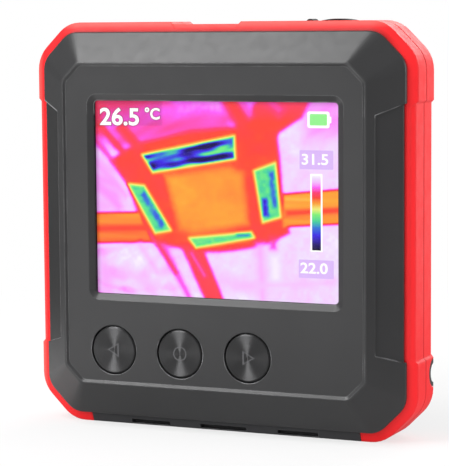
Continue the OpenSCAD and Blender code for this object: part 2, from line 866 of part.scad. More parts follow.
module board_chips() {
    chip_x = chip_side - board_w / 2;
    chip_up = board_h / 2 - chip_top;
    memory_up = chip_up - chip_w / 2 - memory_gap - memory_h / 2;
    supply_up = board_h / 2 - post_edge - supply_h / 2;
    small_d = board_back_d + small_chip_t;
    color([0.08, 0.08, 0.09]) {
        box_at(chip_x, chip_up, chip_w, chip_w, board_back_d, board_back_d + chip_t);
        box_at(chip_x, memory_up, memory_w, memory_h, board_back_d, small_d);
        box_at(-post_x - supply_gap, supply_up, supply_w, supply_h, board_back_d, small_d);
        box_at(board_w / 2 - radio_side, chip_up, radio_w, radio_w, board_back_d, small_d);
    }
}

module board_link() {
    color([0.85, 0.82, 0.7])
        box_at(0, lens_up, link_w, link_h, board_back_d, sensor_d);
}

module sensor_board() {
    color([0.05, 0.25, 0.3])
        difference() {
            box_at(0, lens_up, sensor_w, sensor_w, sensor_d, detector_d);
            for (p = sensor_screws_at)
                bar(p[0], p[1], sensor_d - 1, detector_d + 1, board_screw_r + 0.1);
        }
}

module sensor_screws() {
    color([0.7, 0.7, 0.72])
        for (p = sensor_screws_at) {
            bar(p[0], p[1], sensor_d - board_head_t, sensor_d, board_head_r);
            bar(p[0], p[1], sensor_d - eps, sensor_d + sensor_screw_l, board_screw_r);
        }
}

module infrared_detector() {
    color([0.45, 0.42, 0.38])
        box_at(0, lens_up, detector_w, detector_w, detector_d, detector_d + detector_t);
}

module detector_window() {
    w = detector_w - 2;
    color([0.25, 0.25, 0.3])
        box_at(0, lens_up, w, w, detector_d + detector_t, detector_d + detector_t + detector_window_t);
}

module lens_holder() {
    base_d = detector_d + holder_base_t;
    cavity = detector_w + 0.6;
    color([0.12, 0.12, 0.12])
        difference() {
            union() {
                box_at(0, lens_up, sensor_w - 1, sensor_w - 1, detector_d, base_d);
                bar(0, lens_up, base_d - eps, collar_d, collar_r);
                bar(0, lens_up, collar_d - eps, bezel_d, nose_r);
            }
            box_at(0, lens_up, cavity, cavity, detector_d - 1, base_d);
            bar(0, lens_up, detector_d, bezel_d + 1, aperture_r);
            bar(0, lens_up, lens_d, bezel_d + 1, lens_r + 0.05);
            for (p = sensor_screws_at)
                bar(p[0], p[1], detector_d - 1, sensor_d + sensor_screw_l + 0.2, board_screw_r + 0.02);
        }
}

module germanium_lens() {
    color([0.3, 0.28, 0.32])
        turned(0, lens_up, concat(
            [[0, lens_d], [lens_r, lens_d], [lens_r, ring_d]],
            [for (k = [8:-1:0]) [aperture_r * k / 8, ring_d + lens_bulge * (1 - k * k / 64)]]
        ));
}

module lens_ring() {
    color([0.15, 0.15, 0.15])
        turned(0, lens_up, [
            [aperture_r, ring_d], [lens_r, ring_d], [lens_r, bezel_d], [aperture_r, bezel_d]
        ]);
}

module lens_seal() {
    color([0.05, 0.05, 0.05])
        turned(0, lens_up, [
            [nose_r + 0.15, collar_d],
            [collar_r - 0.2, collar_d],
            [collar_r - 0.2, floor_d],
            [nose_r + 0.15, floor_d]
        ]);
}

module lens_bezel() {
    top_d = case_d + bezel_out;
    color([0.1, 0.1, 0.1])
        turned(0, lens_up, [
            [lens_r - 0.3, bezel_d],
            [bezel_r, bezel_d],
            [bezel_r, top_d - 0.4],
            [bezel_r - 0.4, top_d],
            [bezel_r - 1.4, top_d],
            [lens_r - 0.3, bezel_d + 0.4]
        ]);
}

module battery() {
    color([0.75, 0.76, 0.78])
        slab(battery_d, battery_d + battery_t)
            polygon(round_box(battery_w, battery_h, battery_round, 0, -battery_down));
}

module battery_pad() {
    color([0.95, 0.95, 0.9])
        slab(floor_d - battery_pad_t, floor_d)
            polygon(round_box(
                battery_w - 2 * pad_inset, battery_h - 2 * pad_inset, battery_round, 0, -battery_down
            ));
}

module battery_wires() {
    color([0.8, 0.1, 0.1])
        for (s = [-1, 1])
            translate([wire_x + s * wire_gap / 2, wire_d - body_d / 2, mid_z + battery_top])
                cylinder(h = wire_l, r = wire_r);
}

module battery_plug() {
    color([0.92, 0.92, 0.88])
        box_at(wire_x, plug_up, plug_w, plug_h, board_back_d, board_back_d + plug_t);
}

module usb_outline(more) {
    polygon(round_box(usb_w + 2 * more, usb_t + 2 * more, usb_t / 2 + more - 0.3, usb_x, usb_d));
}

module usb_shell() {
    color([0.75, 0.75, 0.77])
        difference() {
            column(usb_top - usb_l, usb_top)
                usb_outline(0);
            column(usb_top - usb_l + usb_end_t, usb_top + 1)
                usb_outline(-usb_sheet);
        }
}

module usb_tongue() {
    root = usb_top - usb_l + usb_end_t;
    w = usb_w - 2 * usb_sheet - 2 * usb_tongue_side;
    color([0.1, 0.1, 0.1])
        column(root, root + usb_tongue_l)
            polygon(round_box(w, usb_tongue_t, usb_tongue_t / 4, usb_x, usb_d));
}

module usb_cover() {
    half = (cover_x1 - cover_x0) / 2;
    middle = (cover_x0 + cover_x1) / 2;
    shoulder = 0.4;
    color([0.06, 0.06, 0.06]) {
        slab(usb_d - cover_w / 2, usb_d + cover_w / 2)
            polygon(concat(
                [[cover_x0, ledge_up], [cover_x1, ledge_up]],
                [
                    for (k = [10:-1:-10])
                    let (rise = (cover_arch + shoulder) * (1 - k * k / 100))
                    [middle + half * k / 10, top_up - shoulder + rise]
                ]
            ));
        slab(usb_d - bead_l / 2, usb_d + bead_l / 2)
            polygon([
                [bead_x, bead_up - 0.4], [cover_x0 + eps, bead_up - 0.4],
                [cover_x0 + eps, bead_up + 0.25], [bead_x, bead_up + 0.25]
            ]);
        bar(bead_x, bead_up, usb_d - bead_l / 2, usb_d + bead_l / 2, bead_r);
        column(usb_top - plug_l, ledge_up + eps)
            polygon(round_box(usb_w - 2 * usb_sheet - 0.9, usb_t - 2 * usb_sheet - 0.6, 0.6, usb_x, usb_d));
    }
}

module usb_cover_cut() {
    g = cover_gap;
    column(ledge_up, top_up + 1)
        polygon([
            [cover_x0 - g, usb_d - cover_w / 2 - g], [cover_x1 + g, usb_d - cover_w / 2 - g],
            [cover_x1 + g, usb_d + cover_w / 2 + g], [cover_x0 - g, usb_d + cover_w / 2 + g]
        ]);
    bar(bead_x, bead_up, usb_d - bead_l / 2 - g, usb_d + bead_l / 2 + g, bead_r + g);
    slab(usb_d - bead_l / 2 - g, usb_d + bead_l / 2 + g)
        polygon([
            [bead_x, bead_up - 0.4 - g], [cover_x0, bead_up - 0.4 - g],
            [cover_x0, top_up + 1], [bead_x, top_up + 1]
        ]);
    column(rim_h / 2 - band_in - side_wall - 1, ledge_up + eps)
        usb_outline(usb_gap);
}

module bumper_form(out, grooved) {
    g = flange_d + groove_back;
    groove = grooved ? [
        [g - groove_w / 2, case_ring(out)],
        [g, case_ring(out - groove_t)],
        [g + groove_w / 2, case_ring(out)]
    ] : [];
    loft(concat(
        [[flange_d, case_ring(0)], [flange_d + band_slope, case_ring(out)]],
        groove,
        [[back_rim_d - tail_l, case_ring(out)], [back_rim_d, case_ring(out - tail_in)]]
    ));
}

module pad_zone() {
    w = body_w / 2;
    h = body_h / 2;
    step = pad_out + 1;
    difference() {
        square([2 * body_w, 2 * body_h], center = true);
        for (s = [-1, 1])
            polygon([
                [s * (w - step), pad_gap_top - pad_ramp * step],
                [s * (w + 1), pad_gap_top + pad_ramp],
                [s * (w + 1), pad_gap_low - pad_ramp],
                [s * (w - step), pad_gap_low + pad_ramp * step]
            ]);
        polygon([
            [pad_gap_x - pad_gap_w / 2 + pad_ramp * step, h - step],
            [pad_gap_x + pad_gap_w / 2 - pad_ramp * step, h - step],
            [pad_gap_x + pad_gap_w / 2 + pad_ramp, h + 1],
            [pad_gap_x - pad_gap_w / 2 - pad_ramp, h + 1]
        ]);
    }
}

module side_bumper() {
    core_up = rim_h / 2 - band_in;
    color([0.85, 0.12, 0.13])
        difference() {
            union() {
                bumper_form(band_out, true);
                intersection() {
                    bumper_form(band_out + pad_out, true);
                    slab(flange_d - 1, back_rim_d + 1)
                        pad_zone();
                }
            }
            slab(flange_d - 1, back_rim_d + 1)
                polygon(case_ring(-band_in));
            box_at(0, -body_h / 2, chin_w + 2 * fit_gap, 2 * (body_h / 2 - core_up + 2), 0, case_d);
            usb_cover_cut();
            across(rim_w / 2 - band_in - 0.5, rim_w / 2 + 8)
                strap_outline(strap_rim + fit_gap, back_rim_d + 1);
        }
}

// Side view outline of the lanyard notch, widened by a margin and carried back to a depth
module strap_outline(more, d1) {
    r = strap_h / 2 + more;
    d = strap_d0 + strap_h / 2;
    translate([d, -strap_down])
        circle(r);
    translate([d, -strap_down - r])
        square([d1 - d, 2 * r]);
}

// Rim of the lanyard notch, flush with the bumper
module strap_lip() {
    intersection() {
        bumper_form(band_out + pad_out, false);
        across(rim_w / 2 - band_in - 0.3, rim_w / 2 + 8)
            difference() {
                strap_outline(strap_rim, back_rim_d + eps);
                strap_outline(0, back_rim_d + 1);
            }
    }
}

module chin() {
    core_up = rim_h / 2 - band_in;
    slot_x = chin_mid_w / 2 + foot_w + chin_slot_w / 2;
    slot_up = chin_lip + chin_slot_t / 2 - body_h / 2;
    difference() {
        intersection() {
            bumper_form(band_out + pad_out, false);
            box_at(0, -body_h / 2, chin_w, 2 * (body_h / 2 - core_up + 0.5), 0, case_d);
        }
        slab(flange_d - 1, part_d)
            polygon(case_ring(fit_gap - band_in));
        for (q = [[0, chin_mid_w], [-slot_x, chin_slot_w], [slot_x, chin_slot_w]])
            box_at(q[0], slot_up, q[1], chin_slot_t, flange_d - 1, flange_d + chin_slot_d);
    }
}

module rear_cover() {
    color([0.14, 0.14, 0.15])
        difference() {
            union() {
                difference() {
                    union() {
                        slab(part_d, back_rim_d + eps)
                            polygon(case_ring(-band_in));
                        loft([
                            [back_rim_d, case_ring(0)],
                            [back_rim_d + back_edge, case_ring(0)],
                            [case_d, case_ring(-back_bevel_w)]
                        ]);
                        chin();
                    }
                    loft([
                        [part_d - 1, case_ring(-wall_in)],
                        [back_rim_d, case_ring(-wall_in)],
                        [floor_d, case_ring(-back_bevel_w - 0.6)]
                    ]);
                }
                slab(part_d - tongue_l, part_d + eps)
                    difference() {
                        polygon(case_ring(tongue_t - wall_in));
                        polygon(case_ring(-wall_in));
                    }
                for (p = bosses)
                    bar(p[0], p[1], part_d, floor_d + eps, boss_r);
                strap_block();
                strap_lip();
            }
            for (p = bosses) {
                bar(p[0], p[1], part_d - 1, head_d + 1, screw_r + fit_gap);
                bar(p[0], p[1], head_d, case_d + 1, head_r + 2 * fit_gap);
            }
            bar(0, lens_up, floor_d - 1, case_d + 1, nose_r + 2 * fit_gap);
            bar(0, lens_up, bezel_d, case_d + 1, bezel_r + fit_gap);
            column(rim_h / 2 - wall_in - 1, rim_h / 2)
                usb_outline(usb_gap);
            strap_tunnel();
        }
}

module strap_box(x0, x1, more, d0, d1) {
    box_at((x0 + x1) / 2, -strap_down, x1 - x0, strap_h + 2 * more, d0, d1);
}

module strap_tunnel() {
    across(strap_x0, rim_w / 2 + 8)
        strap_outline(0, strap_d1);
    strap_box(strap_x0, strap_x1, 0, strap_d0, case_d + 1);
}

module strap_block() {
    x0 = strap_x0 - strap_wall;
    strap_box(x0, rim_w / 2 - band_in - side_wall / 2, strap_wall, strap_d0 - strap_wall, back_rim_d + 0.5);
    strap_box(x0, strap_x1 + strap_wall, strap_wall, strap_d0 - strap_wall, floor_d + eps);
}

module case_seal() {
    color([0.05, 0.05, 0.05])
        slab(shoulder_d, part_d - tongue_l)
            difference() {
                polygon(case_ring(tongue_t + fit_gap - wall_in));
                polygon(case_ring(-wall_in));
            }
}

module case_screws() {
    color([0.2, 0.2, 0.21])
        for (p = bosses)
            difference() {
                union() {
                    bar(p[0], p[1], head_d, head_d + head_t, head_r);
                    bar(p[0], p[1], head_d - screw_l, head_d + eps, screw_r);
                }
                box_at(p[0], p[1], 2.2, 0.5, head_d + head_t - 0.7, head_d + head_t + 1);
                box_at(p[0], p[1], 0.5, 2.2, head_d + head_t - 0.7, head_d + head_t + 1);
            }
}

module screw_inserts() {
    color([0.8, 0.65, 0.3])
        for (p = bosses)
            difference() {
                bar(p[0], p[1], part_d - insert_l, part_d, insert_r - 0.02);
                bar(p[0], p[1], part_d - insert_l - 1, part_d + 1, screw_r + 0.05);
            }
}

front_cover();
display_window();
window_gasket();
lcd_panel();
lcd_backlight();
lcd_carrier();
lcd_flex();
flex_connector();
button_left();
button_ok();
button_right();
plunger_left();
plunger_ok();
plunger_right();
tact_switches();
main_board();
board_screws();
board_chips();
board_link();
sensor_board();
sensor_screws();
infrared_detector();
detector_window();
lens_holder();
germanium_lens();
lens_ring();
lens_seal();
lens_bezel();
battery();
battery_pad();
battery_wires();
battery_plug();
usb_shell();
usb_tongue();
usb_cover();
rear_cover();
side_bumper();
case_seal();
case_screws();
screw_inserts();
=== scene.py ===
"""Looks of the pocket thermal imaging camera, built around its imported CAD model. Lengths are in metres."""

import math
from collections import namedtuple

import bmesh
import bpy
import numpy as np
from mathutils import Matrix, Vector

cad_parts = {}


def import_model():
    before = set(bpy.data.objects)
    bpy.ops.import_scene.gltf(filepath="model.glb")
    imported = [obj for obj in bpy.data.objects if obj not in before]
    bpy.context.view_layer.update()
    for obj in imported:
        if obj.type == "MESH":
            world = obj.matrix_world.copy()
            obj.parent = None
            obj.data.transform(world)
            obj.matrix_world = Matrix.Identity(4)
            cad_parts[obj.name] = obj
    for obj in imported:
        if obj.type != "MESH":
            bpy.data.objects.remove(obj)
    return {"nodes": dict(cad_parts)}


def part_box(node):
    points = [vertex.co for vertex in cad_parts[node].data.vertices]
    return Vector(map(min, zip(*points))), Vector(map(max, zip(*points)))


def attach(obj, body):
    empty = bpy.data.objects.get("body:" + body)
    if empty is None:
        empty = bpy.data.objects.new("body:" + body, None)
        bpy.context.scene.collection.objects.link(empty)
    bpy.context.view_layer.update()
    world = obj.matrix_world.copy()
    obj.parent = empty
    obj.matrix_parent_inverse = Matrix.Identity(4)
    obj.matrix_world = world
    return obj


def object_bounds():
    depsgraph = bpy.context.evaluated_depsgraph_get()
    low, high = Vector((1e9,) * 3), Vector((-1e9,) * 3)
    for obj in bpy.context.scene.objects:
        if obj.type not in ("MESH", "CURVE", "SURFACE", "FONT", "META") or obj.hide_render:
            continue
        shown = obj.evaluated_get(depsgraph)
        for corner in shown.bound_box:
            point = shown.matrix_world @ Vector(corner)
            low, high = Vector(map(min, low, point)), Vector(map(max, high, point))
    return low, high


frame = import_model()
cad_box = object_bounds()

SCENE = bpy.context.scene
MM = 0.001


# Places and colours


def middle(node):
    """Centre of a CAD node's box."""
    low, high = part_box(node)
    return (low + high) / 2


FRONT_Y = cad_box[0].y
CENTRE_Z = middle("side_bumper").z


def at(x, d, up):
    """A place given in mm: sideways, depth behind the case's front and height above the case's centre."""
    return Vector((x * MM, FRONT_Y + d * MM, CENTRE_Z + up * MM))


def lengths(values):
    """Lengths given in mm."""
    return [value * MM for value in values]


def srgb(r, g, b):
    """Linear colour of an sRGB colour in 0 to 255."""
    out = []
    for c in (r / 255, g / 255, b / 255):
        out.append(c / 12.92 if c <= 0.04045 else ((c + 0.055) / 1.055) ** 2.4)
    return tuple(out) + (1.0,)


def grey(level):
    """Linear grey."""
    return (level, level, level, 1.0)


def scaled(color, k):
    """A colour made darker or brighter."""
    return tuple(min(1.0, c * k) for c in color[:3]) + (1.0,)


def unit(axis):
    """A direction with length 1."""
    return tuple(Vector(axis).normalized())


# Shader nodes

RISE, FALL = (0.0, 1.0), (1.0, 0.0)
# Most values of a noise lie between these
NOISE_RANGE = (0.3, 0.7)
# Cosine between the rounded and the flat normal, away from an edge and on it
EDGE_COSINE = (0.995, 0.85)
EDGE_SAMPLES = 6


class Nodes:
    """Short ways to add and link the nodes of one shader tree."""

    def __init__(self, tree):
        self.tree = tree
        tree.nodes.clear()

    def add(self, kind, inputs=None, **props):
        node = self.tree.nodes.new(kind)
        for name, value in props.items():
            setattr(node, name, value)
        for name, value in (inputs or {}).items():
            node.inputs[name].default_value = value
        return node

    def join(self, source, socket):
        self.tree.links.new(source, socket)

    def give(self, socket, value):
        """Sets a socket to a constant, or links it to another node's output."""
        if isinstance(value, (int, float, tuple)):
            socket.default_value = value
        else:
            self.join(value, socket)

    def coords(self, kind="Object"):
        return self.add("ShaderNodeTexCoord").outputs[kind]

    def axis(self, name):
        node = self.add("ShaderNodeSeparateXYZ")
        self.join(self.coords(), node.inputs[0])
        return node.outputs[name]

    def noise(self, scale, detail=2.0, rough=0.5, where=None):
        node = self.add("ShaderNodeTexNoise", {"Scale": scale, "Detail": detail, "Roughness": rough})
        self.join(where or self.coords(), node.inputs["Vector"])
        return node.outputs["Fac"]

    def waves(self, scale, direction):
        node = self.add("ShaderNodeTexWave", {"Scale": scale}, wave_type="BANDS",
                        bands_direction=direction)
        self.join(self.coords(), node.inputs["Vector"])
        return node.outputs["Fac"]

    def span(self, value, ends, results=RISE, smooth=False):
        """A value carried from one range to another, and held beyond the ends."""
        node = self.add("ShaderNodeMapRange", {"From Min": ends[0], "From Max": ends[1],
                                               "To Min": results[0], "To Max": results[1]})
        if smooth:
            node.interpolation_type = "SMOOTHSTEP"
        self.join(value, node.inputs["Value"])
        return node.outputs["Result"]

    def by_side(self, ends, results=RISE):
        return self.span(self.axis("X"), lengths(ends), results)

    def by_depth(self, ends, results=RISE):
        return self.span(self.axis("Y"), [at(0, d, 0).y for d in ends], results)

    def by_height(self, ends, results=RISE):
        return self.span(self.axis("Z"), [at(0, 0, up).z for up in ends], results)

    def math(self, operation, *values):
        node = self.add("ShaderNodeMath", operation=operation)
        for socket, value in zip(node.inputs, values):
            self.give(socket, value)
        return node.outputs[0]

    def fold(self, operation, values):
        result = values[0]
        for value in values[1:]:
            result = self.math(operation, result, value)
        return result

    def product(self, *values):
        return self.fold("MULTIPLY", values)

    def highest(self, *values):
        return self.fold("MAXIMUM", values)

    def lowest(self, *values):
        return self.fold("MINIMUM", values)

    def off(self, value, place):
        """Distance of a value from a place on its axis."""
        return self.math("ABSOLUTE", self.math("SUBTRACT", value, place))

    def dot(self, a, b):
        node = self.add("ShaderNodeVectorMath", operation="DOT_PRODUCT")
        self.give(node.inputs[0], a)
        self.give(node.inputs[1], b)
        return node.outputs["Value"]

    def length(self, place):
        node = self.add("ShaderNodeVectorMath", operation="LENGTH")
        self.join(place, node.inputs[0])
        return node.outputs["Value"]

    def mix(self, share, a, b):
        """A share of colour b in colour a. The node's inputs 6 and 7 and its output 2 are its colours."""
        node = self.add("ShaderNodeMix", data_type="RGBA")
        for index, value in ((0, share), (6, a), (7, b)):
            self.give(node.inputs[index], value)
        return node.outputs[2]

    def ramp(self, value, stops):
        node = self.add("ShaderNodeValToRGB")
        marks = node.color_ramp.elements
        while len(marks) < len(stops):
            marks.new(0.5)
        for mark, (place, color) in zip(marks, stops):
            mark.position = place
            mark.color = color
        self.join(value, node.inputs["Fac"])
        return node.outputs["Color"]

    def bump(self, height, distance, strength=1.0, normal=None):
        node = self.add("ShaderNodeBump", {"Strength": strength, "Distance": distance})
        self.join(height, node.inputs["Height"])
        if normal:
            self.join(normal, node.inputs["Normal"])
        return node.outputs["Normal"]

    def edges(self, radius):
        """Rounded shading normal, and a mask of the piece's edges."""
        bevel = self.add("ShaderNodeBevel", {"Radius": radius}, samples=EDGE_SAMPLES)
        soft = bevel.outputs["Normal"]
        flat = self.add("ShaderNodeNewGeometry").outputs["Normal"]
        return soft, self.span(self.dot(soft, flat), EDGE_COSINE)

    def rays(self):
        """Masks of the rays from the camera or through the window, and of the mirrored ones."""
        path = self.add("ShaderNodeLightPath")
        direct = self.highest(path.outputs["Is Camera Ray"], path.outputs["Is Transmission Ray"])
        return direct, path.outputs["Is Glossy Ray"]


class Mat(Nodes):
    """One material with a principled shader."""

    def __init__(self, name):
        self.made = bpy.data.materials.new(name)
        self.made.use_nodes = True
        super().__init__(self.made.node_tree)
        self.out = self.add("ShaderNodeOutputMaterial")
        self.shader = self.add("ShaderNodeBsdfPrincipled")
        self.join(self.shader.outputs["BSDF"], self.out.inputs["Surface"])

    def set(self, **values):
        """Gives the shader's inputs constants or links. An underscore stands for a space in a name."""
        for name, value in values.items():
            self.give(self.shader.inputs[name.replace("_", " ")], value)


# Areas of the front cover and the bumper with painted highlights and painted shade; places and distances are
# in mm

# The face's centre, and the crest's painted highlight: distance from that centre, depth, where it is weaker
FACE_UP = 0.5
CREST_OFF, CREST_D = (32.3, 32.6), (0.5, 0.75)
CREST_RIGHT, CREST_SHARE = (29.0, 35.0), (1.0, 0.25)

# The thumb recesses: inner edge, then the rim and the heights of their sloped ends there
RECESS_X, RECESS_UP, RECESS_DOWN = 37.2, 25.0, -25.1
RECESS_RIM_X, RECESS_RIM_UP, RECESS_RIM_DOWN = 42.6, 27.5, -27.0
# Fall and rise of the ends for each mm inward, and the depth at which their painted highlights stop
RECESS_LEAN_UP, RECESS_LEAN_DOWN = 0.426, 0.315
RECESS_D = (3.9, 4.5)
# Painted highlights: their fade at the recess ends, and along the left recess's inner edge, low to high
RECESS_END_FADE = 0.6
RECESS_INNER_OFF, RECESS_INNER_SHARE = (0.4, 0.8), (1.0, 0.5)
# Painted shade in the recesses: its fade at their borders, and its share from the left side to the right
RECESS_SHADE_FADE, RECESS_SHADE_SHARE = (0.0, 0.3), (1.0, 0.12)
RECESS_SIDES = (-10.0, 10.0)
# Painted highlight along the left recess's upper end: its fade off that end, its share, its inner fade
RECESS_LINE_OFF, RECESS_LINE_SHARE = (0.12, 0.30), (0.25, 0.0)
RECESS_LINE_FADE = 0.2

# The front's rim at the top with its painted highlight, and the bumper that meets it
RIM_UP, RIM_SHARE = (41.4, 41.9), (0.0, 0.15)
# Painted shade along the bumper's joint with the rim: its depths, then its heights and shares
JOINT_D = (5.8, 6.35)
JOINT_UP, JOINT_SHARE = (38.0, 41.0), (0.2, 1.0)
# Painted highlight on the bumper's outer edge: where it starts, where it is full, and its share
OUTER_NEAR, OUTER_FAR, OUTER_SHARE = 43.2, 44.4, 0.8
# Painted shade in the bumper's groove: its depth, and how far from it the shade fades
GROOVE_D, GROOVE_OFF = 12.0, (0.12, 0.34)


def painted_front_highlights(m):
    """Painted highlights on the front's edges: the crest around its face, its upper rim, the upper and
    lower ends of the thumb recesses, and the left one's inner edge."""
    side, up = m.axis("X"), m.axis("Z")
    from_face = m.highest(m.math("ABSOLUTE", side), m.off(up, at(0, 0, FACE_UP).z))
    crest = m.product(m.span(from_face, lengths(CREST_OFF)), m.by_side(CREST_RIGHT, CREST_SHARE),
                      m.by_depth(CREST_D, FALL))
    high = m.by_height((RECESS_UP - RECESS_END_FADE, RECESS_UP))
    low = m.by_height((RECESS_DOWN, RECESS_DOWN + RECESS_END_FADE), FALL)
    ends = m.product(m.by_depth(RECESS_D, FALL), m.highest(high, low))
    inner = m.product(m.span(m.off(side, -RECESS_X * MM), lengths(RECESS_INNER_OFF), FALL),
                      m.by_height((RECESS_DOWN, RECESS_UP), RECESS_INNER_SHARE))
    return m.highest(crest, inner, ends, m.by_height(RIM_UP, RIM_SHARE))


def recess_ends(m):
    """Heights of a thumb recess's upper and lower end, which lean inward from the rim."""
    inward = m.math("SUBTRACT", RECESS_RIM_X * MM, m.math("ABSOLUTE", m.axis("X")))
    top = m.math("SUBTRACT", at(0, 0, RECESS_RIM_UP).z, m.product(inward, RECESS_LEAN_UP))
    low = m.math("ADD", at(0, 0, RECESS_RIM_DOWN).z, m.product(inward, RECESS_LEAN_DOWN))
    return top, low


def painted_recess_shade(m):
    """Painted shade in the two thumb recesses, the left one darkest."""
    up = m.axis("Z")
    top, low = recess_ends(m)
    beyond = m.math("SUBTRACT", m.math("ABSOLUTE", m.axis("X")), RECESS_X * MM)
    inside = m.lowest(m.math("SUBTRACT", top, up), m.math("SUBTRACT", up, low), beyond)
    share = m.by_side(RECESS_SIDES, RECESS_SHADE_SHARE)
    return m.product(m.span(inside, lengths(RECESS_SHADE_FADE)), share)


def painted_recess_highlight(m):
    """Painted highlight along the upper end of the left thumb recess."""
    top, _ = recess_ends(m)
    line = m.span(m.off(m.axis("Z"), top), lengths(RECESS_LINE_OFF), RECESS_LINE_SHARE)
    return m.product(line, m.by_side((-RECESS_X - RECESS_LINE_FADE, -RECESS_X), FALL))


def painted_groove_shade(m):
    """Painted shade in the fine groove around the bumper."""
    return m.span(m.off(m.axis("Y"), at(0, GROOVE_D, 0).y), lengths(GROOVE_OFF), FALL)


def painted_outer_highlight(m):
    """Painted highlight along the bumper's outermost edge on the top and left."""
    return m.highest(m.by_height((OUTER_NEAR, OUTER_FAR), (0.0, OUTER_SHARE)),
                     m.by_side((-OUTER_FAR, -OUTER_NEAR), (OUTER_SHARE, 0.0)))


def painted_joint_shade(m):
    """Painted shade on the bumper's inner edge along the front's rim, mostly on the top."""
    return m.product(m.by_depth(JOINT_D, FALL), m.by_height(JOINT_UP, JOINT_SHARE))


# Materials

# Noise values where broad tones, flecks and pale edges (wear, painted highlights) start and are full
BROAD_RANGE, FLECK_RANGE, WEAR_GLINT_RANGE = (0.32, 0.68), (0.56, 0.72), (0.35, 0.7)
FLECK_BRIGHT = 1.8
# Scale and shares of the noise on pale edges: worn ones, and painted highlights
WEAR_GLINT_SCALE, WEAR_GLINT_SHARE = 240, (0.15, 1.0)
GLOSS_SCALE = 420
GRAIN_STRENGTH = 0.6


def grained(name, color, vary=0.06, broad=70, grain=3200, bump=0.02, rough=(0.45, 0.55), spec=0.3,
            metal=0.0, flecks=0.0, edge=None, edge_r=0.3, edge_area=None, painted_tones=()):
    """Moulded or cast surface: broad colour changes, fine grain, uneven gloss and paler edges, worn ones
    and, where edge_area limits them, painted highlights. The areas given last carry painted shade or
    painted highlights, each in its own colour. bump and edge_r are in mm."""
    m = Mat(name)
    wide = m.span(m.noise(broad, detail=3.0), BROAD_RANGE)
    tone = m.mix(wide, scaled(color, 1 - vary), scaled(color, 1 + vary))
    fine = m.noise(grain, rough=0.6)
    if flecks:
        tone = m.mix(m.span(fine, FLECK_RANGE, (0.0, flecks)), tone, scaled(color, FLECK_BRIGHT))
    normal = None
    # Pale edges: worn ones, and where edge_area limits them, painted highlights
    if edge:
        normal, wear_and_glint = m.edges(edge_r * MM)
        wear_and_glint = m.product(wear_and_glint, m.span(m.noise(WEAR_GLINT_SCALE, detail=3.0), WEAR_GLINT_RANGE, WEAR_GLINT_SHARE))
        if edge_area:
            wear_and_glint = m.product(wear_and_glint, edge_area(m))
        tone = m.mix(wear_and_glint, tone, edge)
    # Areas of painted shade and painted highlight, each in its own colour
    for area, painted_tone in painted_tones:
        tone = m.mix(area(m), tone, painted_tone)
    m.set(Base_Color=tone, Roughness=m.span(m.noise(GLOSS_SCALE, detail=3.0), NOISE_RANGE, rough),
          Normal=m.bump(fine, bump * MM, GRAIN_STRENGTH, normal), Specular_IOR_Level=spec, Metallic=metal)
    return m.made


def brushed(name, color, rough, stretch):
    """Bare metal with fine lines, drawn out by stretching their pattern."""
    m = Mat(name)
    mapping = m.add("ShaderNodeMapping", {"Scale": stretch})
    m.join(m.coords(), mapping.inputs["Vector"])
    lines = m.noise(160, detail=4.0, rough=0.6, where=mapping.outputs["Vector"])
    m.set(Base_Color=m.mix(m.span(lines, NOISE_RANGE), scaled(color, 0.86), scaled(color, 1.06)),
          Roughness=m.span(lines, NOISE_RANGE, rough), Normal=m.bump(lines, 0.01 * MM, strength=0.4),
          Metallic=1.0)
    return m.made


def turned(name, color, rough, aniso, metal):
    """Face turned on a lathe: fine rings around the piece's middle, and gloss drawn out across them."""
    m = Mat(name)
    mapping = m.add("ShaderNodeMapping", {"Location": (-0.5, -0.5, -0.5)})
    m.join(m.coords("Generated"), mapping.inputs["Vector"])
    flat = m.add("ShaderNodeVectorMath", {1: (1.0, 0.0, 1.0)}, operation="MULTIPLY")
    m.join(mapping.outputs["Vector"], flat.inputs[0])
    noise = m.add("ShaderNodeTexNoise", {"Scale": 90.0, "Detail": 3.0, "Roughness": 0.7},
                  noise_dimensions="1D")
    m.join(m.length(flat.outputs["Vector"]), noise.inputs["W"])
    rings = noise.outputs["Fac"]
    around = m.add("ShaderNodeTangent", direction_type="RADIAL", axis="Y")
    m.set(Base_Color=m.mix(m.span(rings, NOISE_RANGE), scaled(color, 0.86), scaled(color, 1.12)),
          Roughness=m.span(rings, NOISE_RANGE, rough), Normal=m.bump(rings, 0.006 * MM, strength=0.5),
          Tangent=around.outputs["Tangent"], Metallic=metal, Anisotropic=aniso, Anisotropic_Rotation=0.25,
          Specular_IOR_Level=0.5)
    return m.made


def film():
    """Amber film of the flat cable, with its tracks."""
    m = Mat("cable_film")
    tracks = m.span(m.waves(420.0, "X"), (0.45, 0.6))
    m.set(Base_Color=m.mix(tracks, srgb(176, 112, 34), srgb(206, 148, 70)),
          Roughness=m.span(m.noise(300), NOISE_RANGE, (0.25, 0.4)), Normal=m.bump(tracks, 0.01 * MM))
    return m.made


def board():
    """Solder mask with tracks and pads."""
    m = Mat("board_green")
    cells = m.add("ShaderNodeTexVoronoi", {"Scale": 420.0, "Randomness": 0.7}, feature="DISTANCE_TO_EDGE")
    m.join(m.coords(), cells.inputs["Vector"])
    tracks = m.span(cells.outputs["Distance"], (0.03, 0.06), FALL)
    pads = m.span(m.noise(900, detail=1.0), (0.72, 0.76))
    mask = m.mix(m.noise(120), srgb(14, 72, 40), srgb(20, 92, 50))
    tone = m.mix(tracks, mask, srgb(30, 118, 66))
    m.set(Base_Color=m.mix(pads, tone, srgb(206, 178, 96)), Metallic=pads,
          Roughness=m.span(m.noise(500), NOISE_RANGE, (0.3, 0.42)),
          Normal=m.bump(tracks, 0.02 * MM, strength=0.5))
    return m.made


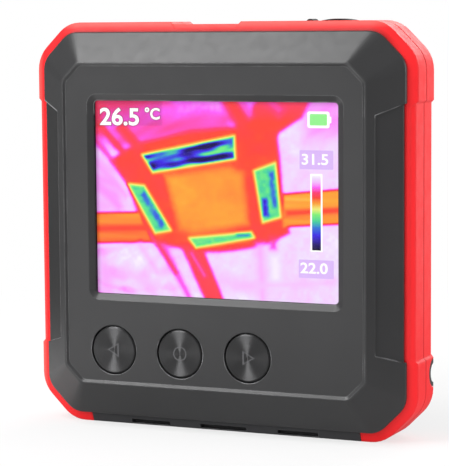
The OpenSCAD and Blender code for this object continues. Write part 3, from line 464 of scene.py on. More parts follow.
def germanium():
    """Dark, metallic lens with a violet coating."""
    m = Mat("germanium")
    m.set(Base_Color=m.mix(m.noise(500), srgb(92, 84, 104), srgb(112, 98, 112)),
          Roughness=m.span(m.noise(900), NOISE_RANGE, (0.06, 0.1)), Metallic=0.9,
          Coat_Weight=0.6, Coat_Roughness=0.05, Coat_Tint=(0.75, 0.55, 0.85, 1.0))
    return m.made


def window_clear():
    """Clear window, with hardly any mirroring of its own."""
    m = Mat("clear_window")
    m.set(Base_Color=grey(1.0), Roughness=m.span(m.noise(700, detail=3.0), NOISE_RANGE, (0.0, 0.03)),
          Transmission_Weight=1.0, IOR=1.12)
    return m.made


FRONT_GREY = srgb(53, 53, 54)
BUMPER_RED = srgb(241, 30, 36)

GRAINED_LOOKS = {
    "front_plastic": dict(
        color=FRONT_GREY, vary=0.05, grain=2600, bump=0.006, rough=(0.31, 0.37), spec=0.5,
        # Pale edges here are painted highlights; the areas add painted recess shade and a painted end
        # highlight
        edge=srgb(168, 168, 170), edge_r=0.32, edge_area=painted_front_highlights,
        painted_tones=[(painted_recess_shade, scaled(FRONT_GREY, 0.62)), (painted_recess_highlight, srgb(230, 230, 232))]),
    "rear_plastic": dict(
        color=srgb(60, 60, 62), grain=2200, rough=(0.46, 0.58), edge=srgb(104, 104, 106)),
    "red_rubber": dict(
        color=BUMPER_RED, vary=0.03, grain=3000, bump=0.008, rough=(0.42, 0.52), spec=0.28,
        edge=srgb(246, 56, 60), edge_r=0.7,
        # Painted shade in the groove and along the joint with the front, and a painted highlight on the
        # outer edge
        painted_tones=[(painted_groove_shade, scaled(BUMPER_RED, 0.72)), (painted_outer_highlight, srgb(250, 92, 86)),
               (painted_joint_shade, srgb(176, 18, 22))]),
    "black_rubber": dict(
        color=srgb(38, 38, 39), grain=2600, bump=0.015, rough=(0.55, 0.7), spec=0.25,
        edge=srgb(74, 74, 76), edge_r=0.2),
    "black_foam": dict(color=srgb(26, 26, 27), grain=1800, bump=0.08, rough=(0.8, 0.95), spec=0.1),
    "white_foam": dict(color=srgb(232, 230, 222), grain=1600, bump=0.06, rough=(0.8, 0.9), spec=0.1),
    "black_plastic": dict(color=srgb(34, 34, 36), grain=2400, rough=(0.4, 0.55)),
    "ivory_plastic": dict(color=srgb(226, 220, 200), grain=2400, rough=(0.4, 0.5)),
    "plunger_plastic": dict(color=srgb(176, 62, 44), grain=2400, rough=(0.35, 0.5)),
    "chip_black": dict(color=srgb(30, 30, 32), grain=5200, bump=0.01, rough=(0.5, 0.65), flecks=0.3),
    "ceramic_grey": dict(color=srgb(150, 144, 134), grain=4200, rough=(0.5, 0.6), flecks=0.25),
    "wire_red": dict(color=srgb(196, 28, 30), grain=1800, rough=(0.35, 0.45)),
    "battery_foil": dict(
        color=srgb(196, 198, 202), broad=260, grain=900, bump=0.03, rough=(0.3, 0.45), metal=1.0),
    "black_steel": dict(
        color=srgb(58, 58, 60), grain=2600, rough=(0.3, 0.42), metal=0.7, edge=srgb(150, 150, 152),
        edge_r=0.12),
    "black_metal": dict(color=srgb(40, 40, 42), grain=3600, rough=(0.3, 0.42), metal=0.6),
    "silicon_window": dict(color=srgb(70, 68, 80), grain=900, bump=0.0, rough=(0.06, 0.1), metal=0.8),
    "display_panel": dict(color=srgb(24, 22, 30), grain=2800, rough=(0.12, 0.2), spec=0.5),
}

BRUSHED_LOOKS = {
    "backlight_metal": dict(color=srgb(206, 207, 209), rough=(0.24, 0.36), stretch=(1, 1, 40)),
    "screw_steel": dict(color=srgb(186, 187, 190), rough=(0.22, 0.36), stretch=(30, 1, 30)),
    "insert_brass": dict(color=srgb(206, 164, 92), rough=(0.26, 0.38), stretch=(30, 1, 30)),
}

TURNED_LOOKS = {
    "bezel_metal": dict(color=srgb(44, 44, 46), rough=(0.27, 0.37), aniso=0.6, metal=0.35),
    "button_plastic": dict(color=srgb(89, 89, 90), rough=(0.39, 0.49), aniso=1.0, metal=0.9),
}


def paint():
    """Gives every CAD node the finishes that its slots name."""
    finishes = {
        "cable_film": film(),
        "board_green": board(),
        "germanium": germanium(),
        "clear_window": window_clear(),
    }
    for make, looks in ((grained, GRAINED_LOOKS), (brushed, BRUSHED_LOOKS), (turned, TURNED_LOOKS)):
        for name, look in looks.items():
            finishes[name] = make(name, **look)
    for node in frame["nodes"].values():
        for held in node.material_slots:
            held.material = finishes[held.material.name.split(".")[0]]


# Lit materials of the display

UNLIT = grey(0.01)
PIXEL_ROWS, PIXEL_ROW_SHADE = 1800.0, 0.03

# Cold at the foot of the scale, hot at its top
PALETTE = [
    (0.00, srgb(8, 4, 30)), (0.08, srgb(28, 10, 110)), (0.20, srgb(60, 30, 226)),
    (0.30, srgb(52, 116, 214)), (0.39, srgb(72, 212, 152)), (0.48, srgb(130, 240, 118)),
    (0.55, srgb(240, 236, 122)), (0.62, srgb(250, 164, 52)), (0.70, srgb(252, 66, 50)),
    (0.77, srgb(252, 62, 118)), (0.84, srgb(252, 94, 246)), (0.91, srgb(243, 190, 252)),
    (0.96, srgb(238, 218, 250)), (1.00, srgb(252, 248, 252)),
]


def glow(name, color, strength=1.0):
    """Lit part of the display, with a trace of its pixel rows."""
    m = Mat(name)
    rows = m.span(m.waves(PIXEL_ROWS, "Z"), (0.2, 0.8))
    m.set(Base_Color=UNLIT, Emission_Color=m.mix(rows, scaled(color, 1 - PIXEL_ROW_SHADE), color),
          Emission_Strength=strength, Roughness=0.4, Specular_IOR_Level=0.2)
    return m.made


def heat_glow(name, strength, painted_edge_shade=False):
    """Lit picture coloured by heat; where asked, painted shade of the window's recess darkens it along some
    edges.
    """
    m = Mat(name)
    tone = m.ramp(m.add("ShaderNodeAttribute", attribute_name="warmth").outputs["Fac"], PALETTE)
    if painted_edge_shade:
        # Painted shade of the window's recess, carried on the picture's vertices
        lit = m.add("ShaderNodeAttribute", attribute_name="backlight").outputs["Fac"]
        tone = m.mix(lit, grey(0.0), tone)
    m.set(Base_Color=UNLIT, Emission_Color=tone, Emission_Strength=strength, Roughness=0.4,
          Specular_IOR_Level=0.05)
    return m.made


# Mesh pieces

CORNER_STEPS = 5
RING_STEPS = 40


def piece(name, verts, faces, material, body, slot_name):
    """A mesh piece that rides on a body. slot_name is not used."""
    mesh = bpy.data.meshes.new(name)
    mesh.from_pydata([tuple(v) for v in verts], [], faces)
    mesh.validate()
    bm = bmesh.new()
    bm.from_mesh(mesh)
    bmesh.ops.recalc_face_normals(bm, faces=bm.faces)
    bm.to_mesh(mesh)
    bm.free()
    obj = bpy.data.objects.new(name, mesh)
    SCENE.collection.objects.link(obj)
    mesh.materials.append(material)
    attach(obj, body)
    return obj


def on_display(name, shape, material):
    """A piece of the display's picture, from its vertices and faces."""
    return piece(name, *shape, material, "case", "display_panel")


def plate(outlines, depths):
    """Vertices and faces of flat plates, each from an outline of (x, up) points, between two depths."""
    verts, faces = [], []
    for outline in outlines:
        n, base = len(outline), len(verts)
        for d in depths:
            verts += [at(x, d, up) for x, up in outline]
        faces.append(tuple(range(base, base + n)))
        faces.append(tuple(range(base + 2 * n - 1, base + n - 1, -1)))
        for i in range(n):
            j = (i + 1) % n
            faces.append((base + i, base + n + i, base + n + j, base + j))
    return verts, faces


def loop_plate(outer, inner, front, back_d):
    """Closed loop between two outlines of the same count, with its front's depth given by a function."""
    n = len(outer)
    verts = [at(x, front(x, up), up) for x, up in outer + inner]
    verts += [at(x, back_d, up) for x, up in outer + inner]
    faces = []
    for i in range(n):
        j = (i + 1) % n
        faces.append((i, j, n + j, n + i))
        faces.append((2 * n + j, 2 * n + i, 3 * n + i, 3 * n + j))
        faces.append((j, i, 2 * n + i, 2 * n + j))
        faces.append((n + i, n + j, 3 * n + j, 3 * n + i))
    return verts, faces


def flat_loop(outer, inner, depths):
    """Closed loop between two depths."""
    return loop_plate(outer, inner, lambda x, up: depths[0], depths[1])


def rounded(x, up, w, h, r):
    """Outline of a rectangle with round corners."""
    points = []
    for quarter, (right, above) in enumerate(((1, 1), (-1, 1), (-1, -1), (1, -1))):
        cx, cup = x + right * (w / 2 - r), up + above * (h / 2 - r)
        for i in range(CORNER_STEPS + 1):
            turn = math.pi / 2 * (quarter + i / CORNER_STEPS)
            points.append((cx + r * math.cos(turn), cup + r * math.sin(turn)))
    return points


def ring(x, up, r):
    """Outline of a circle."""
    turns = [2 * math.pi * i / RING_STEPS for i in range(RING_STEPS)]
    return [(x + r * math.cos(turn), up + r * math.sin(turn)) for turn in turns]


# Display picture: a warm room with a cold air outlet, as heat values on a fine grid; sizes are in mm

VIEW_W, VIEW_H = 57.0, 42.4
VIEW_X = middle("display_window").x / MM
VIEW_UP = (middle("display_window").z - CENTRE_Z) / MM
VIEW_RATIO = VIEW_W / VIEW_H
PICTURE_W, PICTURE_H = 57.4, 42.7
PICTURE_D = (2.14, 2.26)
PICTURE_LIGHT = 1.04
GRID_U, GRID_V = 200, 150
ROOM_HEAT = 0.951
SLOT_RIM_HEAT, SLOT_RIM = 0.530, 0.007
READING_SHADE = 0.20


def soft_shape(points, u, v, soft, grow=0.0):
    """Mask of a polygon with blurred edges. Points are shares of the display's width and height. soft is
    half the blur's width, and grow moves the edge outward, both in shares of the height."""
    x, y = u * VIEW_RATIO, v
    corners = [(a * VIEW_RATIO, b) for a, b in points]
    inside = np.zeros(u.shape, bool)
    distance = np.full(u.shape, np.inf)
    for (ax, ay), (bx, by) in zip(corners, corners[1:] + corners[:1]):
        ex, ey = bx - ax, by - ay
        t = np.clip(((x - ax) * ex + (y - ay) * ey) / (ex * ex + ey * ey), 0, 1)
        distance = np.minimum(distance, np.hypot(x - ax - t * ex, y - ay - t * ey))
        if ay != by:
            inside ^= ((ay > y) != (by > y)) & (x < ex * (y - ay) / ey + ax)
    signed = np.where(inside, distance, -distance) + grow
    share = np.clip(0.5 + signed / (2 * soft), 0, 1)
    return share * share * (3 - 2 * share)


def strip(start, end, width):
    """Outline of a straight bar between two points; width in shares of the height."""
    dx, dy = (end[0] - start[0]) * VIEW_RATIO, end[1] - start[1]
    length = math.hypot(dx, dy)
    nx, ny = -dy / length * width / 2 / VIEW_RATIO, dx / length * width / 2
    return [(start[0] + nx, start[1] + ny), (end[0] + nx, end[1] + ny),
            (end[0] - nx, end[1] - ny), (start[0] - nx, start[1] - ny)]


def mottle(u, v, columns, rows, seed):
    """Smooth random field from -1 to 1, with so many cells across the display."""
    cells = np.random.default_rng(seed).uniform(-1, 1, (rows + 2, columns + 2))
    x, y = np.clip(u, 0, 1) * columns, np.clip(v, 0, 1) * rows
    i, j = x.astype(int), y.astype(int)
    fx, fy = (t * t * (3 - 2 * t) for t in (x - i, y - j))
    low = cells[j, i] * (1 - fx) + cells[j, i + 1] * fx
    high = cells[j + 1, i] * (1 - fx) + cells[j + 1, i + 1] * fx
    return low * (1 - fy) + high * fy


class HeatPicture:
    """Heat over the display, 0 cold to 1 hot, laid shape by shape. Places are shares of its two sizes."""

    def __init__(self, u, v):
        self.u, self.v = u, v
        wave = np.sin(9 * u + 5 * v) * np.sin(7 * v - 4 * u + 1)
        self.fields = {
            "wave": wave,
            "small": np.sin(61 * u + 23 * v + 2 * wave) * np.sin(47 * v - 31 * u + 1),
            "patch": np.sin(27 * u + 6 * np.sin(11 * v)) * np.sin(31 * v + 5 * np.sin(9 * u + 1)),
            "sensor": mottle(u, v, columns=80, rows=60, seed=3),
            "blotch": mottle(u, v, columns=22, rows=17, seed=5),
            "rows": mottle(u, v, columns=7, rows=64, seed=11),
            "steps": np.round(2 * np.sin(13 * u) * np.sin(15 * v)) / 2,
        }
        self.heat = np.zeros(u.shape)

    def uneven(self, heat, **shares):
        """A heat with shares of the picture's fields added."""
        for name, share in shares.items():
            heat = heat + share * self.fields[name]
        return heat

    def lay(self, points, heat, soft, grow=0.0):
        """Covers a polygon with a heat."""
        share = soft_shape(points, self.u, self.v, soft, grow)
        self.heat = self.heat * (1 - share) + heat * share

    def bar(self, start, end, width, heat, soft):
        """Covers a straight bar with a heat."""
        self.lay(strip(start, end, width), heat, soft)

    def cold_slot(self, points, heat):
        """A cold slot inside a thin warmer rim."""
        self.lay(points, SLOT_RIM_HEAT, soft=0.012, grow=SLOT_RIM)
        self.lay(points, heat, soft=0.009, grow=-SLOT_RIM)


def lay_room(p):
    """Pale walls, uneven at the lower left and cooler along the left and lower edges."""
    u, v = p.u, p.v
    low_left = np.clip(1.1 - 1.5 * u - 1.3 * v, 0, 1)
    corner = np.clip(1 - u / 0.12, 0, 1) + np.clip(1 - v / 0.1, 0, 1) * np.clip(1.6 - 4 * u, 0, 1)
    dips = 0.07 * low_left * np.clip(0.25 + p.fields["patch"], 0, 1)
    cool = 0.04 * corner * np.clip(0.6 + p.fields["blotch"], 0, 1)
    p.heat = p.uneven(ROOM_HEAT, wave=0.014, small=0.008, blotch=0.014, sensor=0.011) - dips - cool


def lay_ceiling(p):
    """Ceiling and left wall, less warm toward the upper left corner."""
    p.lay([(-0.1, 0.74), (0.1, 0.76), (0.3, 0.82), (0.62, 0.88), (0.84, 0.94), (0.84, 1.1), (-0.1, 1.1)],
          heat=p.uneven(0.849, wave=0.014, patch=0.012, sensor=0.008), soft=0.05)
    p.lay([(0.86, 0.8), (1.1, 0.84), (1.1, 1.1), (0.84, 1.1)],
          heat=p.uneven(0.875, patch=0.01), soft=0.07)
    p.lay([(0.08, 0.76), (0.56, 0.86), (0.56, 0.93), (0.3, 0.91), (0.08, 0.9)],
          heat=p.uneven(0.797, patch=0.012), soft=0.05)
    p.lay([(-0.1, 0.92), (0.12, 0.93), (0.32, 0.98), (0.3, 1.1), (-0.1, 1.1)], heat=0.772, soft=0.06)
    p.lay([(-0.1, 0.42), (0.12, 0.43), (0.09, 0.66), (-0.1, 0.78)],
          heat=p.uneven(0.89, patch=0.015), soft=0.05)
    p.lay([(-0.1, 0.8), (0.02, 0.82), (0.02, 1.1), (-0.1, 1.1)], heat=0.745, soft=0.05)


def lay_panels(p):
    """Joints between the wall's panels."""
    p.bar((-0.02, 0.6), (0.1, 0.44), width=0.035, heat=0.872, soft=0.022)
    p.bar((-0.02, 0.7), (0.13, 0.5), width=0.03, heat=0.88, soft=0.022)
    p.bar((0.00, 0.14), (0.06, 0.05), width=0.1, heat=0.885, soft=0.07)
    p.bar((0.12, 0.12), (0.24, 0.03), width=0.05, heat=0.905, soft=0.05)
    p.bar((0.5, 0.09), (0.66, 0.06), width=0.05, heat=0.905, soft=0.06)


def lay_frame(p):
    """Frame around the outlet, and what holds it from above."""
    p.lay([(0.06, 0.69), (0.121, 0.745), (0.185, 0.785), (0.4, 0.848), (0.586, 0.872), (0.62, 0.93),
           (0.752, 0.845), (0.764, 0.69), (0.772, 0.55), (0.8, 0.345), (0.745, 0.305), (0.66, 0.268),
           (0.55, 0.24), (0.438, 0.232), (0.356, 0.25), (0.25, 0.262), (0.2, 0.352), (0.172, 0.43),
           (0.132, 0.56)],
          heat=p.uneven(0.7, wave=0.006, blotch=0.006, sensor=0.004), soft=0.022)
    p.bar((0.005, 0.885), (0.12, 0.725), width=0.028, heat=0.716, soft=0.02)
    p.bar((0.1, 0.87), (0.19, 0.745), width=0.045, heat=0.716, soft=0.022)
    p.bar((-0.03, 0.83), (0.075, 0.68), width=0.022, heat=0.775, soft=0.022)
    p.bar((0.56, 1.02), (0.64, 0.845), width=0.085, heat=0.712, soft=0.03)
    p.lay([(0.625, 0.86), (0.66, 0.985), (0.705, 1.05), (0.9, 1.05), (0.85, 0.925), (0.745, 0.832)],
          heat=0.7 + 0.45 * np.clip(p.v - 0.9, 0, 0.2), soft=0.022)
    p.bar((0.72, 1.01), (0.775, 0.945), width=0.055, heat=0.79, soft=0.03)
    p.bar((0.6, 1.01), (0.648, 0.925), width=0.03, heat=0.815, soft=0.03)


def lay_beams(p):
    """Beams to the left and right, each with a warmer line along its middle."""
    p.lay([(-0.1, 0.25), (0.24, 0.272), (0.205, 0.352), (0.18, 0.427), (-0.1, 0.41)],
          heat=p.uneven(0.662 - 0.25 * (p.v - 0.33), rows=0.014), soft=0.014)
    p.bar((-0.05, 0.33), (0.22, 0.347), width=0.036, heat=0.7, soft=0.016)
    p.lay([(0.775, 0.375), (1.02, 0.4), (1.02, 0.575), (0.775, 0.54)],
          heat=p.uneven(0.63 + 0.012 * np.sin(34 * p.v), rows=0.014), soft=0.014)
    p.bar((0.785, 0.444), (1.02, 0.47), width=0.032, heat=0.702, soft=0.016)


def lay_struts(p):
    """Slanted struts below the outlet, and marks on the wall beside them."""
    p.lay([(0.352, 0.27), (0.466, -0.05), (0.545, -0.05), (0.44, 0.27)], heat=0.722, soft=0.02)
    p.bar((0.395, 0.23), (0.455, 0.105), width=0.02, heat=0.815, soft=0.018)
    p.lay([(0.248, 0.27), (0.384, -0.02), (0.405, -0.02), (0.288, 0.27)], heat=0.8, soft=0.026)
    p.bar((0.258, 0.262), (0.335, 0.115), width=0.016, heat=0.745, soft=0.018)
    p.bar((0.177, 0.262), (0.258, 0.11), width=0.022, heat=0.89, soft=0.03)
    p.bar((0.68, 0.29), (0.692, -0.02), width=0.04, heat=0.888, soft=0.035)
    p.bar((0.74, 0.235), (0.745, 0.07), width=0.06, heat=0.978, soft=0.03)
    p.bar((0.56, 0.06), (0.98, 0.105), width=0.025, heat=p.uneven(0.912, blotch=0.01), soft=0.03)
    p.bar((0.735, 0.32), (0.735, 0.262), width=0.03, heat=0.78, soft=0.03)


def lay_outlet(p):
    """Middle of the outlet, and the four cold slots around it with their coldest streaks."""
    u, v = p.u, p.v
    p.lay([(0.292, 0.618), (0.56, 0.668), (0.612, 0.64), (0.634, 0.385), (0.41, 0.33), (0.352, 0.345)],
          heat=p.uneven(0.634, steps=0.01, blotch=0.008, sensor=0.006), soft=0.03)
    streaks = np.sin(78 * (v - 0.24 * u) + 2.6 * np.sin(15 * u + 0.6)) * np.sin(17 * u - 9 * v + 0.4)
    along = mottle(u, v - 0.24 * u + 0.2, columns=15, rows=50, seed=9)
    p.cold_slot([(0.196, 0.722), (0.578, 0.826), (0.581, 0.712), (0.24, 0.634)],
                heat=np.clip(0.2 + 0.14 * streaks + 0.26 * along + 0.5 * (u - 0.37), 0.03, 0.45))
    p.cold_slot([(0.135, 0.569), (0.201, 0.562), (0.311, 0.338), (0.247, 0.322)],
                heat=p.uneven(0.405, sensor=0.035))
    p.bar((0.196, 0.52), (0.278, 0.36), width=0.02, heat=p.uneven(0.24, sensor=0.08), soft=0.018)
    p.cold_slot([(0.66, 0.652), (0.744, 0.694), (0.764, 0.425), (0.694, 0.396)],
                heat=p.uneven(0.41, sensor=0.035))
    p.bar((0.7, 0.515), (0.707, 0.43), width=0.024, heat=p.uneven(0.15, sensor=0.08), soft=0.016)
    p.bar((0.728, 0.65), (0.742, 0.47), width=0.018, heat=p.uneven(0.26, sensor=0.06), soft=0.018)
    p.cold_slot([(0.391, 0.3), (0.645, 0.341), (0.657, 0.316), (0.418, 0.254)],
                heat=p.uneven(0.42, sensor=0.03))
    p.bar((0.585, 0.323), (0.64, 0.328), width=0.014, heat=0.3, soft=0.012)


def heat_field(u, v):
    """Heat over the whole display."""
    picture = HeatPicture(u, v)
    for lay_part in (lay_room, lay_ceiling, lay_panels, lay_frame, lay_beams, lay_struts, lay_outlet):
        lay_part(picture)
    return np.clip(picture.heat, 0.0, 1.0)


def edge_shade(distance, width, least):
    """Painted shade at an edge: light that rises from its least there to 1."""
    share = np.clip(distance / width, 0, 1)
    return least + (1 - least) * share * (2 - share)


def backlight(u, v):
    """Share of the display's light: painted shade of the window's recess along the left and upper
    edges, and weaker behind the reading.
    """
    left, top = edge_shade(u, width=0.022, least=0.45), edge_shade(1 - v, width=0.035, least=0.50)
    reading = soft_shape([(-0.1, 0.855), (0.283, 0.872), (0.283, 1.1), (-0.1, 1.1)], u, v, soft=0.008)
    return left * top * (1 - READING_SHADE * reading)


def set_values(obj, name, values):
    """Gives an object's vertices a value each."""
    attribute = obj.data.attributes.new(name, "FLOAT", "POINT")
    attribute.data.foreach_set("value", np.asarray(values, np.float32))


def display_picture():
    """Thin plate whose front is a grid that carries the heat values."""
    u, v = np.meshgrid(np.linspace(0, 1, GRID_U + 1), np.linspace(0, 1, GRID_V + 1))
    front_d, back_d = PICTURE_D
    verts = [at(VIEW_X + (a - 0.5) * PICTURE_W, front_d, VIEW_UP + (b - 0.5) * PICTURE_H)
             for a, b in zip(u.ravel(), v.ravel())]
    base = len(verts)
    index = np.arange(base).reshape(u.shape)
    cells = np.stack((index[:-1, :-1], index[:-1, 1:], index[1:, 1:], index[1:, :-1]), axis=-1)
    faces = cells.reshape(-1, 4).tolist()
    rim = [*index[0], *index[1:, -1], *index[-1, -2::-1], *index[-2:0:-1, 0]]
    shift = Vector((0, (back_d - front_d) * MM, 0))
    verts += [verts[i] + shift for i in rim]
    for k in range(len(rim)):
        n = (k + 1) % len(rim)
        faces.append((rim[k], base + k, base + n, rim[n]))
    faces.append(tuple(range(base + len(rim) - 1, base - 1, -1)))
    # The picture's light, with painted shade of the window's recess along two edges
    light = heat_glow("display_heat", PICTURE_LIGHT, painted_edge_shade=True)
    obj = on_display("display_picture", (verts, faces), light)
    heat = heat_field((u - 0.5) * PICTURE_W / VIEW_W + 0.5, (v - 0.5) * PICTURE_H / VIEW_H + 0.5)
    set_values(obj, "warmth", np.append(heat, np.zeros(len(rim))))
    # Painted shade of the window's recess along the left and upper edges, and dimmer behind the reading
    set_values(obj, "backlight", np.append(backlight(u, v), np.ones(len(rim))))


# Numbers and signs on the display, in front of its picture; places are shares of the display, sizes mm

LETTER_D, FRAME_D, FILL_D, SHADE_D = (2.06, 2.09), (2.07, 2.10), (2.09, 2.12), (2.10, 2.13)
# Height of a numeral as a share of the font's size
NUMERAL_SHARE = 0.73
LETTER_STEPS = 6
HALO_SHIFT, HALO_BOLD = -0.14, 0.13
WHITE_LIGHT = 1.08
MERGE_DISTANCE = 1e-7
READING_AT, READING_UNIT_AT = (0.016, 0.876), (0.208, 0.907)
# Each limit of the scale: its text, its left foot, and its box's middle and size
LIMITS = (
    ("31.5", (0.851, 0.692), (0.909, 0.715), (7.6, 4.0)),
    ("22.0", (0.844, 0.148), (0.907, 0.169), (7.9, 3.9)),
)
LIMIT_H, LIMIT_BOLD, LIMIT_WIDEN, LIMIT_CORNER = 2.3, 0.06, 1.16, 0.2
SCALE_AT = (0.9085, 0.451)
SCALE_W, SCALE_H, SCALE_CORNER = 2.0, 15.9, 0.1
SCALE_FRAME_W, SCALE_FRAME_H, SCALE_FRAME_CORNER = 2.75, 16.5, 0.15
SCALE_STEPS = 32
# Width, height and corner radius of the battery sign's parts
BATTERY_AT = (0.9175, 0.914)
BATTERY_CASE, BATTERY_LEVEL = (5.0, 3.5, 0.5), (3.9, 2.4, 0.25)
BATTERY_POLE_OFF, BATTERY_POLE = 2.65, (0.5, 1.4, 0.2)

# A row of text: its left foot, the height of its numerals, how bold it is and how far it is widened
TextRow = namedtuple("TextRow", "text x up height bold widen")


def in_view(u, v):
    """A place on the display from shares of its width and height."""
    return VIEW_X + (u - 0.5) * VIEW_W, VIEW_UP + (v - 0.5) * VIEW_H


def row_mesh(row):
    """Mesh of one row of text, thick enough to tell its front from its back."""
    curve = bpy.data.curves.new("text_row", "FONT")
    curve.body = row.text
    curve.size = row.height / NUMERAL_SHARE
    curve.offset = row.bold
    curve.extrude = 0.5
    curve.resolution_u = LETTER_STEPS
    holder = bpy.data.objects.new("text_row", curve)
    SCENE.collection.objects.link(holder)
    graph = bpy.context.evaluated_depsgraph_get()
    graph.update()
    mesh = bpy.data.meshes.new_from_object(holder.evaluated_get(graph))
    bpy.data.objects.remove(holder)
    bpy.data.curves.remove(curve)
    return mesh


def lettering(name, rows, depths, material):
    """Plain numerals as one thin mesh."""
    verts, faces = [], []
    for row in rows:
        mesh = row_mesh(row)
        base = len(verts)
        left = min(v.co.x for v in mesh.vertices)
        for v in mesh.vertices:
            d = depths[1] if v.co.z < 0 else depths[0]
            verts.append(at(row.x + (v.co.x - left) * row.widen, d, row.up + v.co.y))
        faces += [tuple(base + i for i in p.vertices) for p in mesh.polygons]
        bpy.data.meshes.remove(mesh)
    obj = on_display(name, (verts, faces), material)
    bm = bmesh.new()
    bm.from_mesh(obj.data)
    bmesh.ops.remove_doubles(bm, verts=bm.verts, dist=MERGE_DISTANCE)
    bmesh.ops.recalc_face_normals(bm, faces=bm.faces)
    bm.to_mesh(obj.data)
    bm.free()


def display_numbers(white):
    """The reading with its dark edge, and the scale's two limits on pale boxes."""
    reading = [TextRow("26.5", *in_view(*READING_AT), height=3.75, bold=0.13, widen=1.11),
               TextRow("\u00b0C", *in_view(*READING_UNIT_AT), height=2.45, bold=0.10, widen=1.02)]
    lettering("display_reading", reading, LETTER_D, white)
    halo = [row._replace(x=row.x + HALO_SHIFT, bold=row.bold + HALO_BOLD) for row in reading]
    lettering("display_reading_edge", halo, SHADE_D, glow("display_shade", srgb(150, 30, 90)))
    rows, boxes = [], []
    for text, foot, box_middle, box_size in LIMITS:
        rows.append(TextRow(text, *in_view(*foot), LIMIT_H, LIMIT_BOLD, LIMIT_WIDEN))
        boxes.append(rounded(*in_view(*box_middle), *box_size, LIMIT_CORNER))
    lettering("display_limits", rows, LETTER_D, white)
    on_display("display_limit_boxes", plate(boxes, SHADE_D), glow("display_violet", srgb(222, 186, 250)))


def display_scale(white):
    """Colour scale with its white frame."""
    x, up = in_view(*SCALE_AT)
    outer = rounded(x, up, SCALE_FRAME_W, SCALE_FRAME_H, SCALE_FRAME_CORNER)
    inner = rounded(x, up, SCALE_W, SCALE_H, SCALE_CORNER)
    on_display("display_scale_frame", flat_loop(outer, inner, FRAME_D), white)
    heats = [k / SCALE_STEPS for k in range(SCALE_STEPS + 1)]
    verts, faces = [], []
    for heat in heats:
        height = up + (heat - 0.5) * SCALE_H
        for d in FILL_D:
            verts += [at(x - SCALE_W / 2, d, height), at(x + SCALE_W / 2, d, height)]
    for a in range(0, 4 * SCALE_STEPS, 4):
        faces += [(a, a + 1, a + 5, a + 4), (a + 3, a + 2, a + 6, a + 7)]
        faces += [(a + 2, a, a + 4, a + 6), (a + 1, a + 3, a + 7, a + 5)]
    top = 4 * SCALE_STEPS
    faces += [(0, 2, 3, 1), (top, top + 1, top + 3, top + 2)]
    bar = on_display("display_scale", (verts, faces), heat_glow("display_scale_heat", 1.0))
    set_values(bar, "warmth", np.repeat(heats, 4))


def display_battery(white):
    """Battery sign, full."""
    x, up = in_view(*BATTERY_AT)
    case, level = rounded(x, up, *BATTERY_CASE), rounded(x, up, *BATTERY_LEVEL)
    on_display("display_battery", flat_loop(case, level, FRAME_D), white)
    pole = rounded(x + BATTERY_POLE_OFF, up, *BATTERY_POLE)
    on_display("display_battery_pole", plate([pole], FRAME_D), white)
    green = glow("display_green", srgb(150, 245, 145))
    on_display("display_battery_level", plate([level], FILL_D), green)


def display_signs():
    """Everything in front of the display's picture."""
    white = glow("display_white", grey(1.0), WHITE_LIGHT)
    display_numbers(white)
    display_scale(white)
    display_battery(white)


# Signs on the dished button caps; sizes and depths are in mm

BUTTON_XS, BUTTON_UP = (-23.6, -7.6, 8.4), -27.2
DISH_R, DISH_T, CAP_D = 4.65, 0.15, 0.35
SIGN_PROUD = 0.03
SIGN_BACK_D = CAP_D + 0.3
TRIANGLE_SIZES, RING_RADII = (1.62, 1.16), (1.6, 1.32)
# Shares of a triangle's size from its middle to its back, and from there to its corners
TRIANGLE_BACK, TRIANGLE_HALF = 0.72, 0.98
TRIANGLE_STEPS = 6


def triangle(cx, side, size):
    """Outline with points along its sides, so that it follows the dish."""
    back = cx - side * size * TRIANGLE_BACK
    corners = [(cx + side * size, BUTTON_UP), (back, BUTTON_UP + size * TRIANGLE_HALF),
               (back, BUTTON_UP - size * TRIANGLE_HALF)]
    points = []
    for i in range(3):
        p, q = corners[i], corners[(i + 1) % 3]
        for k in range(TRIANGLE_STEPS):
            share = k / TRIANGLE_STEPS
            points.append((p[0] + (q[0] - p[0]) * share, p[1] + (q[1] - p[1]) * share))
    return points


def button_sign(name, body, cx, outlines, ink):
    """A sign between two outlines that stands a little proud of its cap's dish."""

    def front(x, up):
        r = math.hypot(x - cx, up - BUTTON_UP)
        return CAP_D + DISH_T * (1 - min(1.0, r / DISH_R) ** 2) - SIGN_PROUD

    piece(name, *loop_plate(*outlines, front, SIGN_BACK_D), ink, body, "button_plastic")


def button_signs():
    """A triangle on each outer button, and a ring on the middle one."""
    ink = grained("sign_grey", srgb(88, 88, 90), grain=2600, rough=(0.35, 0.5), spec=0.4)
    left_x, ok_x, right_x = BUTTON_XS
    for name, body, cx, side in (("sign_left", "left_button", left_x, -1),
                                 ("sign_right", "right_button", right_x, 1)):
        button_sign(name, body, cx, [triangle(cx, side, size) for size in TRIANGLE_SIZES], ink)
    button_sign("sign_ring", "ok_button", ok_x, [ring(ok_x, BUTTON_UP, r) for r in RING_RADII], ink)


# Camera, fitted to the photograph's corner points

# Width and height of the photograph, and the focal length, in pixels
IMAGE_SIZE = (449, 466)
CAM_FOCAL = 2071.8
CAM_YAW, CAM_PITCH, CAM_ROLL = math.radians(23.75), math.radians(5.84), math.radians(-0.45)
CAM_DISTANCE = 0.4540
# Depth in the case that the camera looks at, and how far right and up of its centre, in mm
CAM_TARGET_D, CAM_RIGHT, CAM_UP = 10.1, -0.9, -1.4
CAM_SENSOR = 36.0
CAM_CLIP = (0.01, 50)


